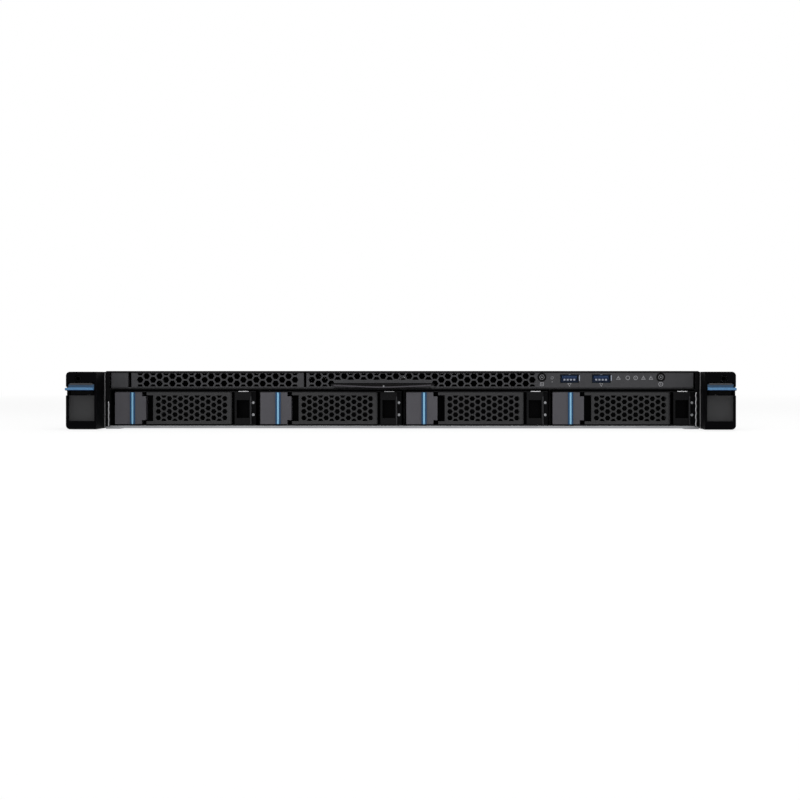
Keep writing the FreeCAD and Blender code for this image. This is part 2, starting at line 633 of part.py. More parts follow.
def make_release(bay):
    latch = Piece(f"tray_release_{bay + 1}", x=bay_x(bay))
    left = "-half_tray"
    right = "release_width - half_tray"
    corner = "3"
    latch.pad("Y", "0", "release_depth",
              [(left, "part_low"), (f"{right} - {corner}", "part_low"),
               (f"{right} - {corner}", f"part_low + {corner}"), (right, f"part_low + {corner}"),
               (right, f"part_high - {corner}"), (f"{right} - {corner}", f"part_high - {corner}"),
               (f"{right} - {corner}", "part_high"), (left, "part_high")])
    rib = "rib_offset - half_tray"
    latch.pad("Y", "-rib_reach", "0", rect(rib, "part_low", f"{rib} + rib_width", "part_high"))
    latch.cut("Y", "2", "release_depth", rect(f"{left} + 1.5", "part_low + 1.5",
                                              f"{right} - {corner} - 1.5", "part_high - 1.5"))


# ---------------------------------------------------------------------------------------------
# Front panel and what works in it
# ---------------------------------------------------------------------------------------------
def comb_column(index):
    return f"comb_first + comb_step * {index}"


def even_column(across):
    """One cell at mid height and what is left of the cells above and below it."""
    edge = "(cell_pitch + cell_flats) / 2"
    parts = [cell_part(across, f"comb_middle + {s} * (cell_pitch - cell_flats / 2)",
                       f"comb_middle + {s} * ({edge})", "cell_flats") for s in (1, -1)]
    return [cell(across, "comb_middle", "cell_flats")] + parts


def odd_column(across):
    """Two cells, half a pitch above and below mid height."""
    return [cell(across, f"comb_middle + {s} * cell_pitch / 2", "cell_flats") for s in (1, -1)]


def upper_only(column):
    """The column's cells above mid height, for the stretch over the tag's slot."""
    return column[:1] + column[1:2] if len(column) == 3 else column[:1]


def make_front_panel():
    panel = Piece("front_panel")
    panel.pad("Z", "ledge_low", "panel_low", rect("-panel_half", "0.8", "panel_half", "14"))
    panel.pad("Z", "ledge_low", "panel_low", rect("marker_x - 8", "14", "panel_half", "48"))
    panel.pad("Y", "0", "14", rect("-panel_half", "panel_low", "end_block - panel_half", "panel_high"))
    panel.pad("Y", "0", "panel_sheet", rect("panel_left", "panel_low", "panel_half", "panel_high"))
    panel.pad("Y", "panel_sheet", "20", rect("panel_half - 2", "panel_low", "panel_half", "panel_high"))
    panel.pad("Y", "panel_sheet", "14", rect("panel_left", "panel_low", "panel_left + 1.5", "panel_high"))
    bed = [("tag_left - 2.3", "panel_low"), ("tag_right + 2.3", "panel_low"),
           ("tag_right + 2.3", "tag_low + tag_sheet"), ("tag_right + seam", "tag_low + tag_sheet"),
           ("tag_right + seam", "tag_low - seam"), ("tag_left - seam", "tag_low - seam"),
           ("tag_left - seam", "tag_low + tag_sheet"), ("tag_left - 2.3", "tag_low + tag_sheet")]
    panel.pad("Y", "panel_sheet", "60", bed)
    panel.cut("Y", "0", "panel_sheet", rect("tag_left - seam", "tag_low - seam",
                                            "tag_right + seam", "tag_low + tag_sheet + seam"))
    usb_low = "control_low + control_sheet - seam"
    usb_high = "control_low + control_sheet + usb_height + seam"
    port = panel.cut("Y", "0", "panel_sheet", rect("usb_first - usb_width / 2 - seam", usb_low,
                                                   "usb_first + usb_width / 2 + seam", usb_high))
    panel.row(port, "X", "usb_pitch", 2)
    for across in ("marker_x", "power_x"):
        panel.cut("Y", "0", "panel_sheet", circle(across, "button_height", "button_radius + 0.2"))
    foot = panel.pad("Z", "panel_low", "control_low", rect("112", "38", "116", "42"))
    panel.row(foot, "X", "44", 3)
    for first, count, chosen in ((0, 2, even_column), (1, 2, odd_column),
                                 (20, 8, even_column), (19, 8, odd_column)):
        holes = panel.cut("Y", "0", "panel_sheet", *chosen(comb_column(first)))
        panel.row(holes, "X", "2 * comb_step", count)
    half = cell_part(comb_column(4), "comb_middle + cell_flats / 2", "comb_middle", "cell_flats")
    over = panel.cut("Y", "0", "panel_sheet", half, even_column(comb_column(4))[1])
    panel.row(over, "X", "2 * comb_step", 8)
    single = panel.cut("Y", "0", "panel_sheet", odd_column(comb_column(5))[0])
    panel.row(single, "X", "2 * comb_step", 7)


def make_bay_blank():
    blank = Piece("optical_bay_blank")
    blank.pad("Y", "0", "panel_sheet", rect("blank_left", "panel_low", "blank_right", "panel_high"))
    for left, right in (("blank_left", "blank_left + 1.2"), ("blank_right - 1.2", "blank_right")):
        blank.pad("Y", "panel_sheet", "16", rect(left, "panel_low", right, "panel_high"))
    first = "(blank_left + blank_right) / 2 - 12 * comb_step"
    holes = blank.cut("Y", "0", "panel_sheet", *even_column(first))
    blank.row(holes, "X", "2 * comb_step", 13)
    holes = blank.cut("Y", "0", "panel_sheet", *odd_column(f"{first} + comb_step"))
    blank.row(holes, "X", "2 * comb_step", 12)


def make_tag():
    """A plate that pulls out of its slot by a thin lip, bowed in plan and hanging at its middle."""
    tag = Piece("info_tag")
    middle = "(tag_left + tag_right) / 2"
    low = "tag_low - 1.5"
    tag.pad("Y", "-0.8", "tag_length", rect("tag_left", "tag_low", "tag_right", "tag_low + tag_sheet"))
    bottom = [("tag_left", f"{low} + tag_sag"), (f"{middle} - 20", f"{low} + tag_sag / 2"), (f"{middle} - 9", low),
              (f"{middle} + 9", low), (f"{middle} + 20", f"{low} + tag_sag / 2"), ("tag_right", f"{low} + tag_sag")]
    top = [(across, f"{up} + tag_lip") for across, up in reversed(bottom)]
    tag.pad("Y", "-3.4", "-0.8", bottom + top)
    tag.pad("Y", "-0.8", "-0.3", rect(f"{middle} - 20", low, f"{middle} + 20", "tag_low"))
    bow = "250"
    ring = [circle(middle, f"{bow} - 3.4", bow), circle(middle, f"{bow} - 3.4", f"{bow} + 60")]
    tag.cut("Z", f"{low} - 1", "tag_low + tag_sheet + 1", *ring)


def make_buttons():
    for label, across in (("power_button", "power_x"), ("id_button", "marker_x")):
        button = Piece(label)
        button.pad("Y", "-0.5", "2.8", circle(across, "button_height", "button_radius"))
        button.pad("Y", "2.8", "3.6", many_sided(across, "button_height", "button_radius + 1", 8))
        button.pad("Y", "3.6", "6", many_sided(across, "button_height", "1.2", 8))


def make_control():
    ports = Piece("usb_ports")
    low = "control_low + control_sheet"
    high = f"{low} + usb_height"
    for index in (0, 1):
        middle = f"usb_first + usb_pitch * {index}"
        left = f"{middle} - usb_width / 2"
        right = f"{middle} + usb_width / 2"
        ports.pad("Y", "0.2", "usb_length", rect(left, low, right, high))
        ports.cut("Y", "0.2", "usb_length - 1",
                  rect(f"{left} + 0.4", f"{low} + 0.4", f"{right} - 0.4", f"{high} - 0.4"))
        ports.pad("Y", "1.4", "usb_length",
                  rect(f"{left} + 1", f"{high} - 2.8", f"{right} - 1", f"{high} - 1"))

    board = Piece("control_board")
    board.pad("Z", "control_low", low, rect("marker_x - 6", "3.8", "panel_half - 4", "46"))
    for across in ("marker_x", "power_x"):
        board.pad("Z", low, "panel_high - 1", rect(f"{across} - 3", "7.8", f"{across} + 3", "12"))
    board.pad("Z", low, f"{low} + 4", rect("150", "36", "190", "44"))


# ---------------------------------------------------------------------------------------------
# Rack ears and their latch levers
# ---------------------------------------------------------------------------------------------
def mirrored(side, left, low, right, high):
    """A rectangle given for the right ear, or its mirror image for the left one."""
    return rect(f"{side} * ({left})", low, f"{side} * ({right})", high)


def across_ear(side, inner, outer):
    """The two X places of a piece of the ear, in rising order."""
    return sorted([f"{side} * ({inner})", f"{side} * ({outer})"], key=number)


def make_ear(name, side):
    ear = Piece(f"ear_{name}")
    ear.pad("Y", "-ear_reach", "-ear_sheet", mirrored(side, "ear_in", "ear_low", "ear_out", "ear_high"))
    outer = number(f"{side} * ear_out")
    ear.round_edges("ear_round", lambda edge: along(edge, "Y") and abs(edge.BoundBox.XMin - outer) < 0.02)
    ear.cut("Y", "ear_face - ear_reach", "-ear_sheet",
            mirrored(side, "ear_in + ear_wall", "ear_low + 2", "ear_out - ear_wall", "ear_high - 2"))
    ear.pad("Y", "-ear_sheet", "0", mirrored(side, "half_width", "ear_low", "ear_out", "ear_high"))
    ear.pad("X", *across_ear(side, "half_width", "half_width + ear_sheet"),
            [("-ear_sheet", "ear_low"), ("24", "ear_low"), ("bracket_length", "ear_low + 8"),
             ("bracket_length", "ear_high - 8"), ("24", "ear_high"), ("-ear_sheet", "ear_high")])
    ear.pad("Y", "-ear_reach", "0",
            many_sided(f"{side} * hole_x", "rack_hole_height", "rack_hole_radius + 1.4", 12))
    # window of the lever, open to the outside where the lip lies, and window of the cover plate
    ear.cut("Y", "-ear_reach", "ear_face - ear_reach",
            mirrored(side, "ear_in + ear_wall", "ear_middle + lever_window_low",
                     "ear_out - ear_wall", "ear_middle + lever_window_high"))
    ear.cut("Y", "-ear_reach", "ear_face - ear_reach",
            mirrored(side, "ear_out - ear_wall - 1", "ear_middle + lever_window_low",
                     "ear_out + 1", "ear_middle + 9.9"))
    ear.cut("Y", "-ear_reach", "ear_face - ear_reach",
            mirrored(side, "ear_in + ear_wall", "ear_middle - 14.9", "ear_out - ear_wall", "ear_middle + 4"))
    ear.cut("Y", "-ear_sheet", "0",
            mirrored(side, "hole_x - 2.4", "ear_middle - 4.6", "hole_x + 2.4", "ear_middle + 5.8"))
    ear.cut("Y", "-ear_reach", "0", circle(f"{side} * hole_x", "rack_hole_height", "rack_hole_radius"))
    ear.pad("X", *across_ear(side, "ear_in + 0.4", "ear_out - 0.4"),
            circle("lever_y", "lever_height", "pin_radius"))

    plate = Piece(f"ear_cover_{name}")
    plate.pad("Y", "ear_face - ear_reach", "ear_face - ear_reach + plate_sheet",
              mirrored(side, "ear_in + ear_wall", "ear_middle - plate_drop",
                       "ear_out - ear_wall", "ear_middle + lever_window_low"))

    lever = Piece(f"rack_latch_{name}")
    inner = "ear_in + ear_wall + seam"
    outer_x = "ear_out - ear_wall - seam"
    front = "0.4 - ear_reach"
    lever.pad("X", *across_ear(side, inner, outer_x), circle("lever_y", "lever_height", "lever_knuckle"))
    lever.pad("X", *across_ear(side, inner, outer_x),
              [(front, "ear_middle + 7.4"), (f"{front} + 2", "ear_middle + 7.4"),
               (f"{front} + 2", "lever_height"), (front, "lever_height")])
    lever.pad("X", *across_ear(side, inner, "ear_out - 0.1"),
              [("-ear_reach - lip_reach", "ear_middle + 7.4"), (f"{front} + 2", "ear_middle + 7.0"),
               (f"{front} + 2", "ear_middle + 9.4"), ("-ear_reach - lip_reach", "ear_middle + 9")])
    lever.pad("X", *across_ear(side, "hole_x - 2", "hole_x + 2"),
              [(f"{front} + 1.8", "ear_middle + 7"), ("-18", "ear_middle + 5.6"), ("-10", "ear_middle + 1.4"),
               ("6", "ear_middle + 1.4"), ("6", "ear_middle + 5.4"), ("3.2", "ear_middle + 5.4"),
               ("3.2", "ear_middle + 3.8"), ("-9.4", "ear_middle + 3.8"), ("-17.6", "ear_middle + 8.4"),
               (f"{front} + 1.8", "ear_middle + 9.4")])
    lever.cut("X", *across_ear(side, "ear_in", "ear_out"),
              circle("lever_y", "lever_height", "pin_radius + pin_play"))


# ---------------------------------------------------------------------------------------------
# Fans
# ---------------------------------------------------------------------------------------------
def fan_x(index):
    return f"fan_pitch * {index - 2}"


def make_fan(index):
    frame = Piece(f"fan_frame_{index + 1}", fan_x(index), "front_y + fan_front", "fan_middle")
    half = "fan_size / 2"
    frame.pad("Y", "0", "fan_depth",
              rect(f"-{half}", f"-{half}", half, half), many_sided("0", "0", "fan_bore", 24))
    frame.pad("Y", "fan_depth - arm_depth", "fan_depth", many_sided("0", "0", "hub_radius", 12))
    arm = frame.pad("Y", "fan_depth - arm_depth", "fan_depth",
                    rect("-1", "hub_radius - 1", "1", "fan_bore + 0.3"))
    frame.ring(arm, "Y", 3)
    frame.pad("Y", "4", "fan_depth - arm_depth", circle("0", "0", "shaft_radius"))

    rotor = Piece(f"fan_rotor_{index + 1}", fan_x(index), "front_y + fan_front", "fan_middle")
    rotor.pad("Y", "2", "fan_depth - 4", many_sided("0", "0", "hub_radius", 14))
    middle = "(fan_depth - 2) / 2"
    along_y = "blade_chord / 2 * sin(blade_angle)"
    along_z = "blade_chord / 2 * cos(blade_angle)"
    blade = rotor.pad("X", "hub_radius - 1", "blade_tip",
                      [(f"{middle} - {along_y}", f"-{along_z}"), (f"{middle} + {along_y}", along_z),
                       (f"{middle} + {along_y} + blade_sheet", along_z),
                       (f"{middle} - {along_y} + blade_sheet", f"-{along_z}")])
    rotor.ring(blade, "Y", 7)
    rotor.cut("Y", "3.8", "fan_depth - 4", circle("0", "0", "shaft_radius + 0.1"))


def make_fan_bracket():
    bracket = Piece("fan_bracket")
    back = "fan_front - 0.2"
    front = f"{back} - bracket_sheet"
    wide = "inner_x - 1.4"
    high = "wall_top - bracket_drop"
    bracket.pad("Y", front, back, rect(f"-({wide})", "floor_top", wide, high))
    opening = bracket.cut("Y", front, back,
                          many_sided("-2 * fan_pitch", "fan_middle", "fan_bore", 24))
    bracket.row(opening, "X", "fan_pitch", 5)
    post = bracket.pad("Z", "floor_top", high,
                       rect("-2.5 * fan_pitch - 2", "fan_front - 0.4", "2 - 2.5 * fan_pitch", "fan_front + 24"))
    bracket.row(post, "X", "fan_pitch", 6)


# ---------------------------------------------------------------------------------------------
# Motherboard and what stands on it
# ---------------------------------------------------------------------------------------------
MEMORY_X = ["-176", "-158", "-140", "20", "38"]
COOLER = ("-106", "300", "-14", "392")


def make_board():
    board = Piece("motherboard")
    board.pad("Z", "board_low", "board_top",
              rect("board_edge - inner_x", "board_front",
                   "bay_left - board_edge", "chassis_depth - board_edge"))
    spacer = board.pad("Z", "floor_top", "board_low", many_sided("-205", "260", "3", 6))
    board.row(spacer, "X", "120", 3, "Y", "180", 3)
    left, low, right, rear = COOLER
    middle_x = f"({left} + {right}) / 2"
    board.pad("Z", "board_top", "board_top + socket_height",
              rect(f"{middle_x} - 28", "318", f"{middle_x} + 28", "376"))
    front = "memory_front"
    end = "memory_front + memory_length"
    high = "board_top + memory_height"
    for across in MEMORY_X:
        board.pad("Z", "board_top", high, rect(f"{across} - 3.4", front, f"{across} + 3.4", end))
        board.cut("Z", "board_top + 2", high,
                  rect(f"{across} - 0.9", f"{front} + 3.8", f"{across} + 0.9", f"{end} - 3.8"))
    board.pad("Z", "board_top", "board_top + 2.4", rect("-40", "450", "-8", "482"), rect("10", "440", "32", "462"))
    board.pad("Z", "board_top", "board_top + 9", rect("-196", "252", "-150", "260"), rect("30", "430", "38", "470"))
    board.pad("Z", "board_top", "board_top + 8", rect("-100", "440", "-92.6", "530"))

    chip = Piece("processor")
    low_z = "board_top + socket_height"
    step = f"{low_z} + 2.6"
    base = f"{low_z} + chip_height"
    chip.pad("Z", low_z, step, rect(f"{middle_x} - 22", "324", f"{middle_x} + 22", "370"))
    chip.pad("Z", step, base, rect(f"{middle_x} - 18", "328", f"{middle_x} + 18", "366"))

    cooler = Piece("heat_sink")
    foot = f"{base} + cooler_base"
    cooler.pad("Z", base, foot, rect(left, low, right, rear))
    fin = cooler.pad("Z", foot, f"{foot} + fin_height", rect(left, low, f"{left} + fin_sheet", rear))
    cooler.row(fin, "X", f"({right} - {left} - fin_sheet) / 22", 23)

    modules = Piece("memory_modules")
    for across in MEMORY_X:
        modules.pad("Z", "board_top + 2.1", "board_top + module_rise",
                    rect(f"{across} - 0.6", f"{front} + 4.3", f"{across} + 0.6", f"{end} - 4.3"))

    duct = Piece("air_duct")
    top = "wall_top - 0.6"
    shape = [("-196", "230"), ("64", "230"), ("64", "246"), ("-2", "270"), ("-2", "398"),
             ("-118", "398"), ("-118", "270"), ("-196", "246")]
    inner = [("-194.6", "229"), ("62.6", "229"), ("62.6", "245"), ("-3.4", "269"), ("-3.4", "399"),
             ("-116.6", "399"), ("-116.6", "269"), ("-194.6", "245")]
    duct.pad("Z", "board_top + 9.6", top, shape)
    duct.cut("Z", "board_top + 9.6", f"{top} - 1.2", inner)


def make_riser():
    riser = Piece("riser_bracket")
    back = "chassis_depth - rear_sheet"
    riser.pad("X", "-106", "-104.8", [("470", "board_top + 1"), (back, "board_top + 8.6"),
                                      (back, "37"), ("470", "37")])
    riser.pad("Y", f"{back} - 1", back, rect("-209", "15", "-104.8", "37"))
    riser.pad("Z", "24", "25.6", rect("-206", "500", "-106", f"{back} - 1"))
    riser.pad("Z", "25.6", "31", rect("-170", "530", "-140", "560"))
    vent = riser.cut("Y", f"{back} - 1", back, rect("-200", "27.4", "-194", "34"))
    riser.row(vent, "X", "10", 9)


# ---------------------------------------------------------------------------------------------
# Power supplies
# ---------------------------------------------------------------------------------------------
def make_supply_bay():
    """Two side walls and a front wall, joined with hairline gaps."""
    bay = Piece("supply_bay")
    end = "chassis_depth - rear_sheet"
    high = "wall_top - 0.5"
    behind = "bay_front + bay_sheet"
    bay.pad("Y", f"{behind} + rivet_gap", end, rect("bay_left", "floor_top", "bay_left + bay_sheet", high))
    middle = "bay_left + supply_step"
    bay.pad("Y", f"{behind} + board_sheet + 1", end, rect(middle, "floor_top", f"{middle} + bay_sheet", high))
    bay.pad("Y", "bay_front", behind, rect("bay_left", "floor_top", "inner_x - cover_sheet - 2 * seam", high))
    window = bay.cut("Y", "bay_front", behind, rect("bay_left + 10", "22", "bay_left + 64", "36"))
    bay.row(window, "X", "supply_step", 2)

    board = Piece("power_board")
    front = "bay_front + bay_sheet"
    board.pad("Y", front, f"{front} + board_sheet", rect("bay_left + 2", "3", "inner_x - 2", "21"))
    socket = board.pad("Y", f"{front} + board_sheet", f"{front} + 7.4",
                       rect("bay_left + 16", "6", "bay_left + 56", "14"))
    board.row(socket, "X", "supply_step", 2)


def make_supply(index):
    """Drawn from its own left side, with a moulded inlet, a fan guard and a looped handle."""
    left = f"supply_left + supply_step * {index}"
    supply = Piece(f"power_supply_{index + 1}", x=left)
    back = "chassis_depth"
    supply.pad("Y", "supply_y", back, rect("0", "supply_low", "supply_width", "supply_high"))
    supply.cut("Y", "supply_y", "supply_y + 3", rect("15", "4", "57", "16"))
    well = f"{back} - inlet_depth"
    supply.cut("Y", well, back,
               [("36", "12.5"), ("60", "12.5"), ("63", "15.5"), ("63", "31"), ("33", "31"), ("33", "15.5")])
    for across, up in (("41", "20"), ("55", "20"), ("48", "25")):
        supply.pad("Y", well, f"{well} + 10",
                   rect(f"{across} - 1", f"{up} - 2", f"{across} + 1", f"{up} + 2"))
    slit = supply.cut("Y", f"{back} - guard_depth", back, rect("3", "6", "5.6", "37"))
    supply.row(slit, "X", "guard_pitch", 6)
    supply.cut("Y", f"{back} - 14", back, rect("65.2", "12", "72.6", "32"))
    supply.pad("X", "11", "19", [(back, "7"), (f"{back} + grip_reach - 5", "7"), (f"{back} + grip_reach", "12"),
                                 (f"{back} + grip_reach", "31"), (f"{back} + grip_reach - 5", "36"),
                                 (back, "36"), (back, "32"), (f"{back} + grip_reach - 6.6", "32"),
                                 (f"{back} + grip_reach - 4", "29.4"), (f"{back} + grip_reach - 4", "13.6"),
                                 (f"{back} + grip_reach - 6.6", "11"), (back, "11")])

    latch = Piece(f"supply_latch_{index + 1}", x=left)
    latch.pad("Z", "12.5", "31.5", [("68.4", f"{back} - 13"), ("71.6", f"{back} - 13"), ("71.6", f"{back} + 6"),
                                    ("70.4", f"{back} + 12"), ("67.6", f"{back} + 12"), ("68.4", f"{back} + 6")])


# ---------------------------------------------------------------------------------------------
# The whole machine
# ---------------------------------------------------------------------------------------------
make_chassis()
make_covers()
make_rear()
make_cage()
for bay_index in range(4):
    make_drive(bay_index)
    make_tray(bay_index)
    make_handle(bay_index)
    make_release(bay_index)
make_front_panel()
make_bay_blank()
make_tag()
make_buttons()
make_control()
make_ear("left", -1)
make_ear("right", 1)
for fan_index in range(5):
    make_fan(fan_index)
make_fan_bracket()
make_board()
make_riser()
make_supply_bay()
for supply_index in range(2):
    make_supply(supply_index)

doc.recompute()
for item in doc.Objects:
    if "Invalid" in item.State or "Error" in item.State:
        raise RuntimeError(f"{item.Name} ({item.Label}) failed: {item.State}")
for piece in pieces:
    if piece.Shape.isNull() or not piece.Shape.isValid():
        raise RuntimeError(f"{piece.Label} has no valid shape")

os.makedirs("parts", exist_ok=True)
for piece in pieces:
    piece.Shape.exportStep(f"parts/{piece.Label}.step")
print(f"{len(pieces)} pieces written")
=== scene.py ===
# %% [markdown]
# # A flat rack server, dressed in Blender
# The server's construction comes in as a fixed frame: sixty solids at their real size, in metres, each
# riding on the body that moves it. This notebook adds what the construction leaves out, which is finish,
# colour, light and the small parts, such as screws, contacts and marks. Places are worked out from the
# frame's own boxes where a solid gives them, so that the dressing follows the construction.

# %% Load the frame
import bpy
import bmesh
import json
import math
from mathutils import Matrix, Vector


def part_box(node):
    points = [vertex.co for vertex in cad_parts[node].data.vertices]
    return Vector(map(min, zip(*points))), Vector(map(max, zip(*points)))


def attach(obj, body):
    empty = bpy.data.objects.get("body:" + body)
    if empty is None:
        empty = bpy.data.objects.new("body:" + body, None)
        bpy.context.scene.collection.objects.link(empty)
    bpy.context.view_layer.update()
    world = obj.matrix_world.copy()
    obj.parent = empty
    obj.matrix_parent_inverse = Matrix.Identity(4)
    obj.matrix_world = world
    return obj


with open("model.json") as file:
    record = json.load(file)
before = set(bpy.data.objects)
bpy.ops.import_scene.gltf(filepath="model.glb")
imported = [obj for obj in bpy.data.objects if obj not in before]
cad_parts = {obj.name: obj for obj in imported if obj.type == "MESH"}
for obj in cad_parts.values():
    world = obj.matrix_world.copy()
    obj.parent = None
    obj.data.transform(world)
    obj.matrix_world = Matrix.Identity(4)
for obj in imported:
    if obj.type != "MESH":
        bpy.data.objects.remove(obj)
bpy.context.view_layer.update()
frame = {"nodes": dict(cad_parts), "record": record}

nodes = frame["nodes"]

# %% [markdown]
# ## Places
# The front plane of the chassis is where the trays, the panel and the grilles end. Most small parts are
# placed from it. A millimetre is a good unit to think in for a machine like this, so one name holds it.

# %% Common places
MM = 0.001
SIDES = ((-1, "left"), (1, "right"))
scene = bpy.context.scene
chassis_low, chassis_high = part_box("chassis")
front_y = chassis_low.y
print("front plane", round(front_y, 4), "rear plane", round(chassis_high.y, 4))

# %% [markdown]
# ## Camera
# A product shot of a long flat machine is taken from straight ahead with a long lens, so its front keeps
# its proportions, while the ears, which stand nearer, look a little larger. A small turn and a small shift
# together centre the machine. A shift alone would do it too, but the other views keep that shift.

# %% Make the camera
CAMERA_DISTANCE = 1100 * MM
CAMERA_SIDE = 48 * MM
CAMERA_HEIGHT = 38.4 * MM
camera_data = bpy.data.cameras.new("camera")
camera_data.lens = 67.07
camera_data.sensor_width = 36
camera_data.shift_x = -0.0504
camera_data.shift_y = -0.0288
camera = bpy.data.objects.new("camera", camera_data)
scene.collection.objects.link(camera)
scene.camera = camera
camera.location = (CAMERA_SIDE, front_y - CAMERA_DISTANCE, CAMERA_HEIGHT)
camera.rotation_euler = (math.radians(90), 0, math.radians(1.0))
print("camera at", [round(value, 3) for value in camera.location])

# %% [markdown]
# ## Wiring a shader
# A shader is a tree of nodes, and each node asks for the same three steps: make it, set it, link it. One
# helper takes these steps together, so a finish reads as a list of what feeds what. Mapping one range of
# values to another comes back so often that it has a helper too.

# %% Helpers that wire a shader
def add_node(tree, kind, inputs=None, **settings):
    """A shader node; inputs gives a socket its value, or the output that feeds it."""
    node = tree.nodes.new(f"ShaderNode{kind}")
    for setting, value in settings.items():
        setattr(node, setting, value)
    for socket, value in (inputs or {}).items():
        if isinstance(value, bpy.types.NodeSocket):
            tree.links.new(value, node.inputs[socket])
        else:
            node.inputs[socket].default_value = value
    return node


def spread_value(tree, source, low, high, start=0.3, end=0.7):
    """Maps a value to a range, such as slow noise to a roughness that varies."""
    values = {"Value": source, "From Min": start, "From Max": end, "To Min": low, "To Max": high}
    return add_node(tree, "MapRange", values).outputs["Result"]


def new_material(name):
    """An empty material with its tree and its shader."""
    material = bpy.data.materials.new(name)
    material.use_nodes = True
    return material, material.node_tree, material.node_tree.nodes["Principled BSDF"]


print("wiring helpers ready")

# %% [markdown]
# ## Light
# The world gives an even fill, so that no side of the machine is black. To the camera and to mirrors the
# world is plain white, which costs the object nothing, because only the other rays light it.

# %% World
WHITE = (1, 1, 1, 1)
scene.view_settings.view_transform = "Standard"
world = bpy.data.worlds.new("studio")
scene.world = world
world.use_nodes = True
world_tree = world.node_tree
fill = world_tree.nodes["Background"]
fill.inputs["Color"].default_value = WHITE
fill.inputs["Strength"].default_value = 0.5
bright = add_node(world_tree, "Background", {"Color": WHITE, "Strength": 1.0})


def seen_factor(tree):
    """A factor that is 1 for what the camera sees, also in a mirror or through glass."""
    path = add_node(tree, "LightPath")
    factor = path.outputs["Is Camera Ray"]
    for label in ("Is Glossy Ray", "Is Transmission Ray"):
        either = add_node(tree, "Math", {0: factor, 1: path.outputs[label]}, operation="MAXIMUM")
        factor = either.outputs[0]
    return factor


world_mix = add_node(world_tree, "MixShader",
                     {0: seen_factor(world_tree), 1: fill.outputs[0], 2: bright.outputs[0]})
world_tree.links.new(world_mix.outputs[0], world_tree.nodes["World Output"].inputs["Surface"])
print("fill strength", fill.inputs["Strength"].default_value)

# %% [markdown]
# ### Lamps
# Soft light shows form without hard glints: one large lamp above and ahead, a weaker one from each side
# and one behind for the other views. An area lamp is soft because it is large, and each one is turned to
# face its target.

# %% Lamps
def lamp(name, spot, target, size, watts):
    """A square soft lamp that faces its target."""
    data = bpy.data.lights.new(name, "AREA")
    data.shape = "SQUARE"
    data.size = size
    data.energy = watts
    item = bpy.data.objects.new(name, data)
    scene.collection.objects.link(item)
    item.location = spot
    aim = Vector(target) - Vector(spot)
    item.rotation_euler = aim.to_track_quat("-Z", "Y").to_euler()


lamp("lamp_above", (0.15, -1.0, 1.3), (0, -0.2, 0), 1.1, 14)
lamp("lamp_left", (-1.4, -0.9, 0.7), (0, 0, 0), 0.8, 5.5)
lamp("lamp_right", (1.4, -0.7, 0.7), (0, 0, 0), 0.8, 4.5)
lamp("lamp_behind", (0.2, 1.7, 0.8), (0, 0, 0), 1.0, 5.5)
print("lamps", len(bpy.data.lights))

# %% [markdown]
# ## Floor
# A white sweep under a product is a large plane whose far parts glow in plain white, so that no horizon
# shows. Near the machine the glow fades to a matt pale floor, which takes the machine's shadow.

# %% Floor
FLOOR_HALF = 6
FADE_START, FADE_END = 0.5, 2.0
floor_mesh = bpy.data.meshes.new("floor")
floor_shape = bmesh.new()
bmesh.ops.create_grid(floor_shape, x_segments=1, y_segments=1, size=FLOOR_HALF)
floor_shape.to_mesh(floor_mesh)
floor_shape.free()
floor = bpy.data.objects.new("floor", floor_mesh)
scene.collection.objects.link(floor)
floor_paint, floor_tree, floor_shader = new_material("floor_paint")
floor_shader.inputs["Base Color"].default_value = (0.86, 0.86, 0.86, 1)
floor_shader.inputs["Roughness"].default_value = 0.9
floor_glow = add_node(floor_tree, "Emission", {"Strength": 1.0})
floor_spot = add_node(floor_tree, "TexCoord").outputs["Object"]
floor_reach = add_node(floor_tree, "VectorMath", {0: floor_spot}, operation="LENGTH").outputs["Value"]
floor_fade = spread_value(floor_tree, floor_reach, 0.75, 1.0, FADE_START, FADE_END)
floor_share = add_node(floor_tree, "Math", {0: seen_factor(floor_tree), 1: floor_fade},
                       operation="MULTIPLY").outputs[0]
floor_mix = add_node(floor_tree, "MixShader",
                     {0: floor_share, 1: floor_shader.outputs[0], 2: floor_glow.outputs[0]})
floor_tree.links.new(floor_mix.outputs[0], floor_tree.nodes["Material Output"].inputs["Surface"])
floor_mesh.materials.append(floor_paint)
print("floor fades between", FADE_START, "and", FADE_END, "metres")

# %% [markdown]
# ## Shared effects
# Three effects come back in most finishes here. Moulded and coated surfaces have a fine grain, every
# handled surface has soft blotches where it is a little smoother, and every edge is slightly rounded, so
# it catches light. A node group holds an effect once, and each material sets its own values.

# %% A group for the grain of mouldings and coatings
def new_group(name, inputs, outputs):
    """An empty shader node group with number inputs and the given outputs."""
    group = bpy.data.node_groups.new(name, "ShaderNodeTree")
    for label, value in inputs:
        socket = group.interface.new_socket(label, in_out="INPUT", socket_type="NodeSocketFloat")
        socket.default_value = value
    for label, kind in outputs:
        group.interface.new_socket(label, in_out="OUTPUT", socket_type=f"NodeSocket{kind}")
    group.nodes.new("NodeGroupInput").name = "in"
    group.nodes.new("NodeGroupOutput").name = "out"
    return group, group.nodes["in"].outputs


def feed_outputs(group, sources):
    """Links the sources to the group's outputs."""
    for label, source in sources.items():
        group.links.new(source, group.nodes["out"].inputs[label])


def object_noise(tree, scale, detail, stretch=None):
    """Noise on Object coordinates, stretched along an axis if asked."""
    source = add_node(tree, "TexCoord").outputs["Object"]
    if stretch:
        source = add_node(tree, "Mapping", {"Vector": source, "Scale": stretch}).outputs["Vector"]
    noise = add_node(tree, "TexNoise", {"Vector": source, "Scale": scale, "Detail": detail})
    return noise.outputs["Fac"]


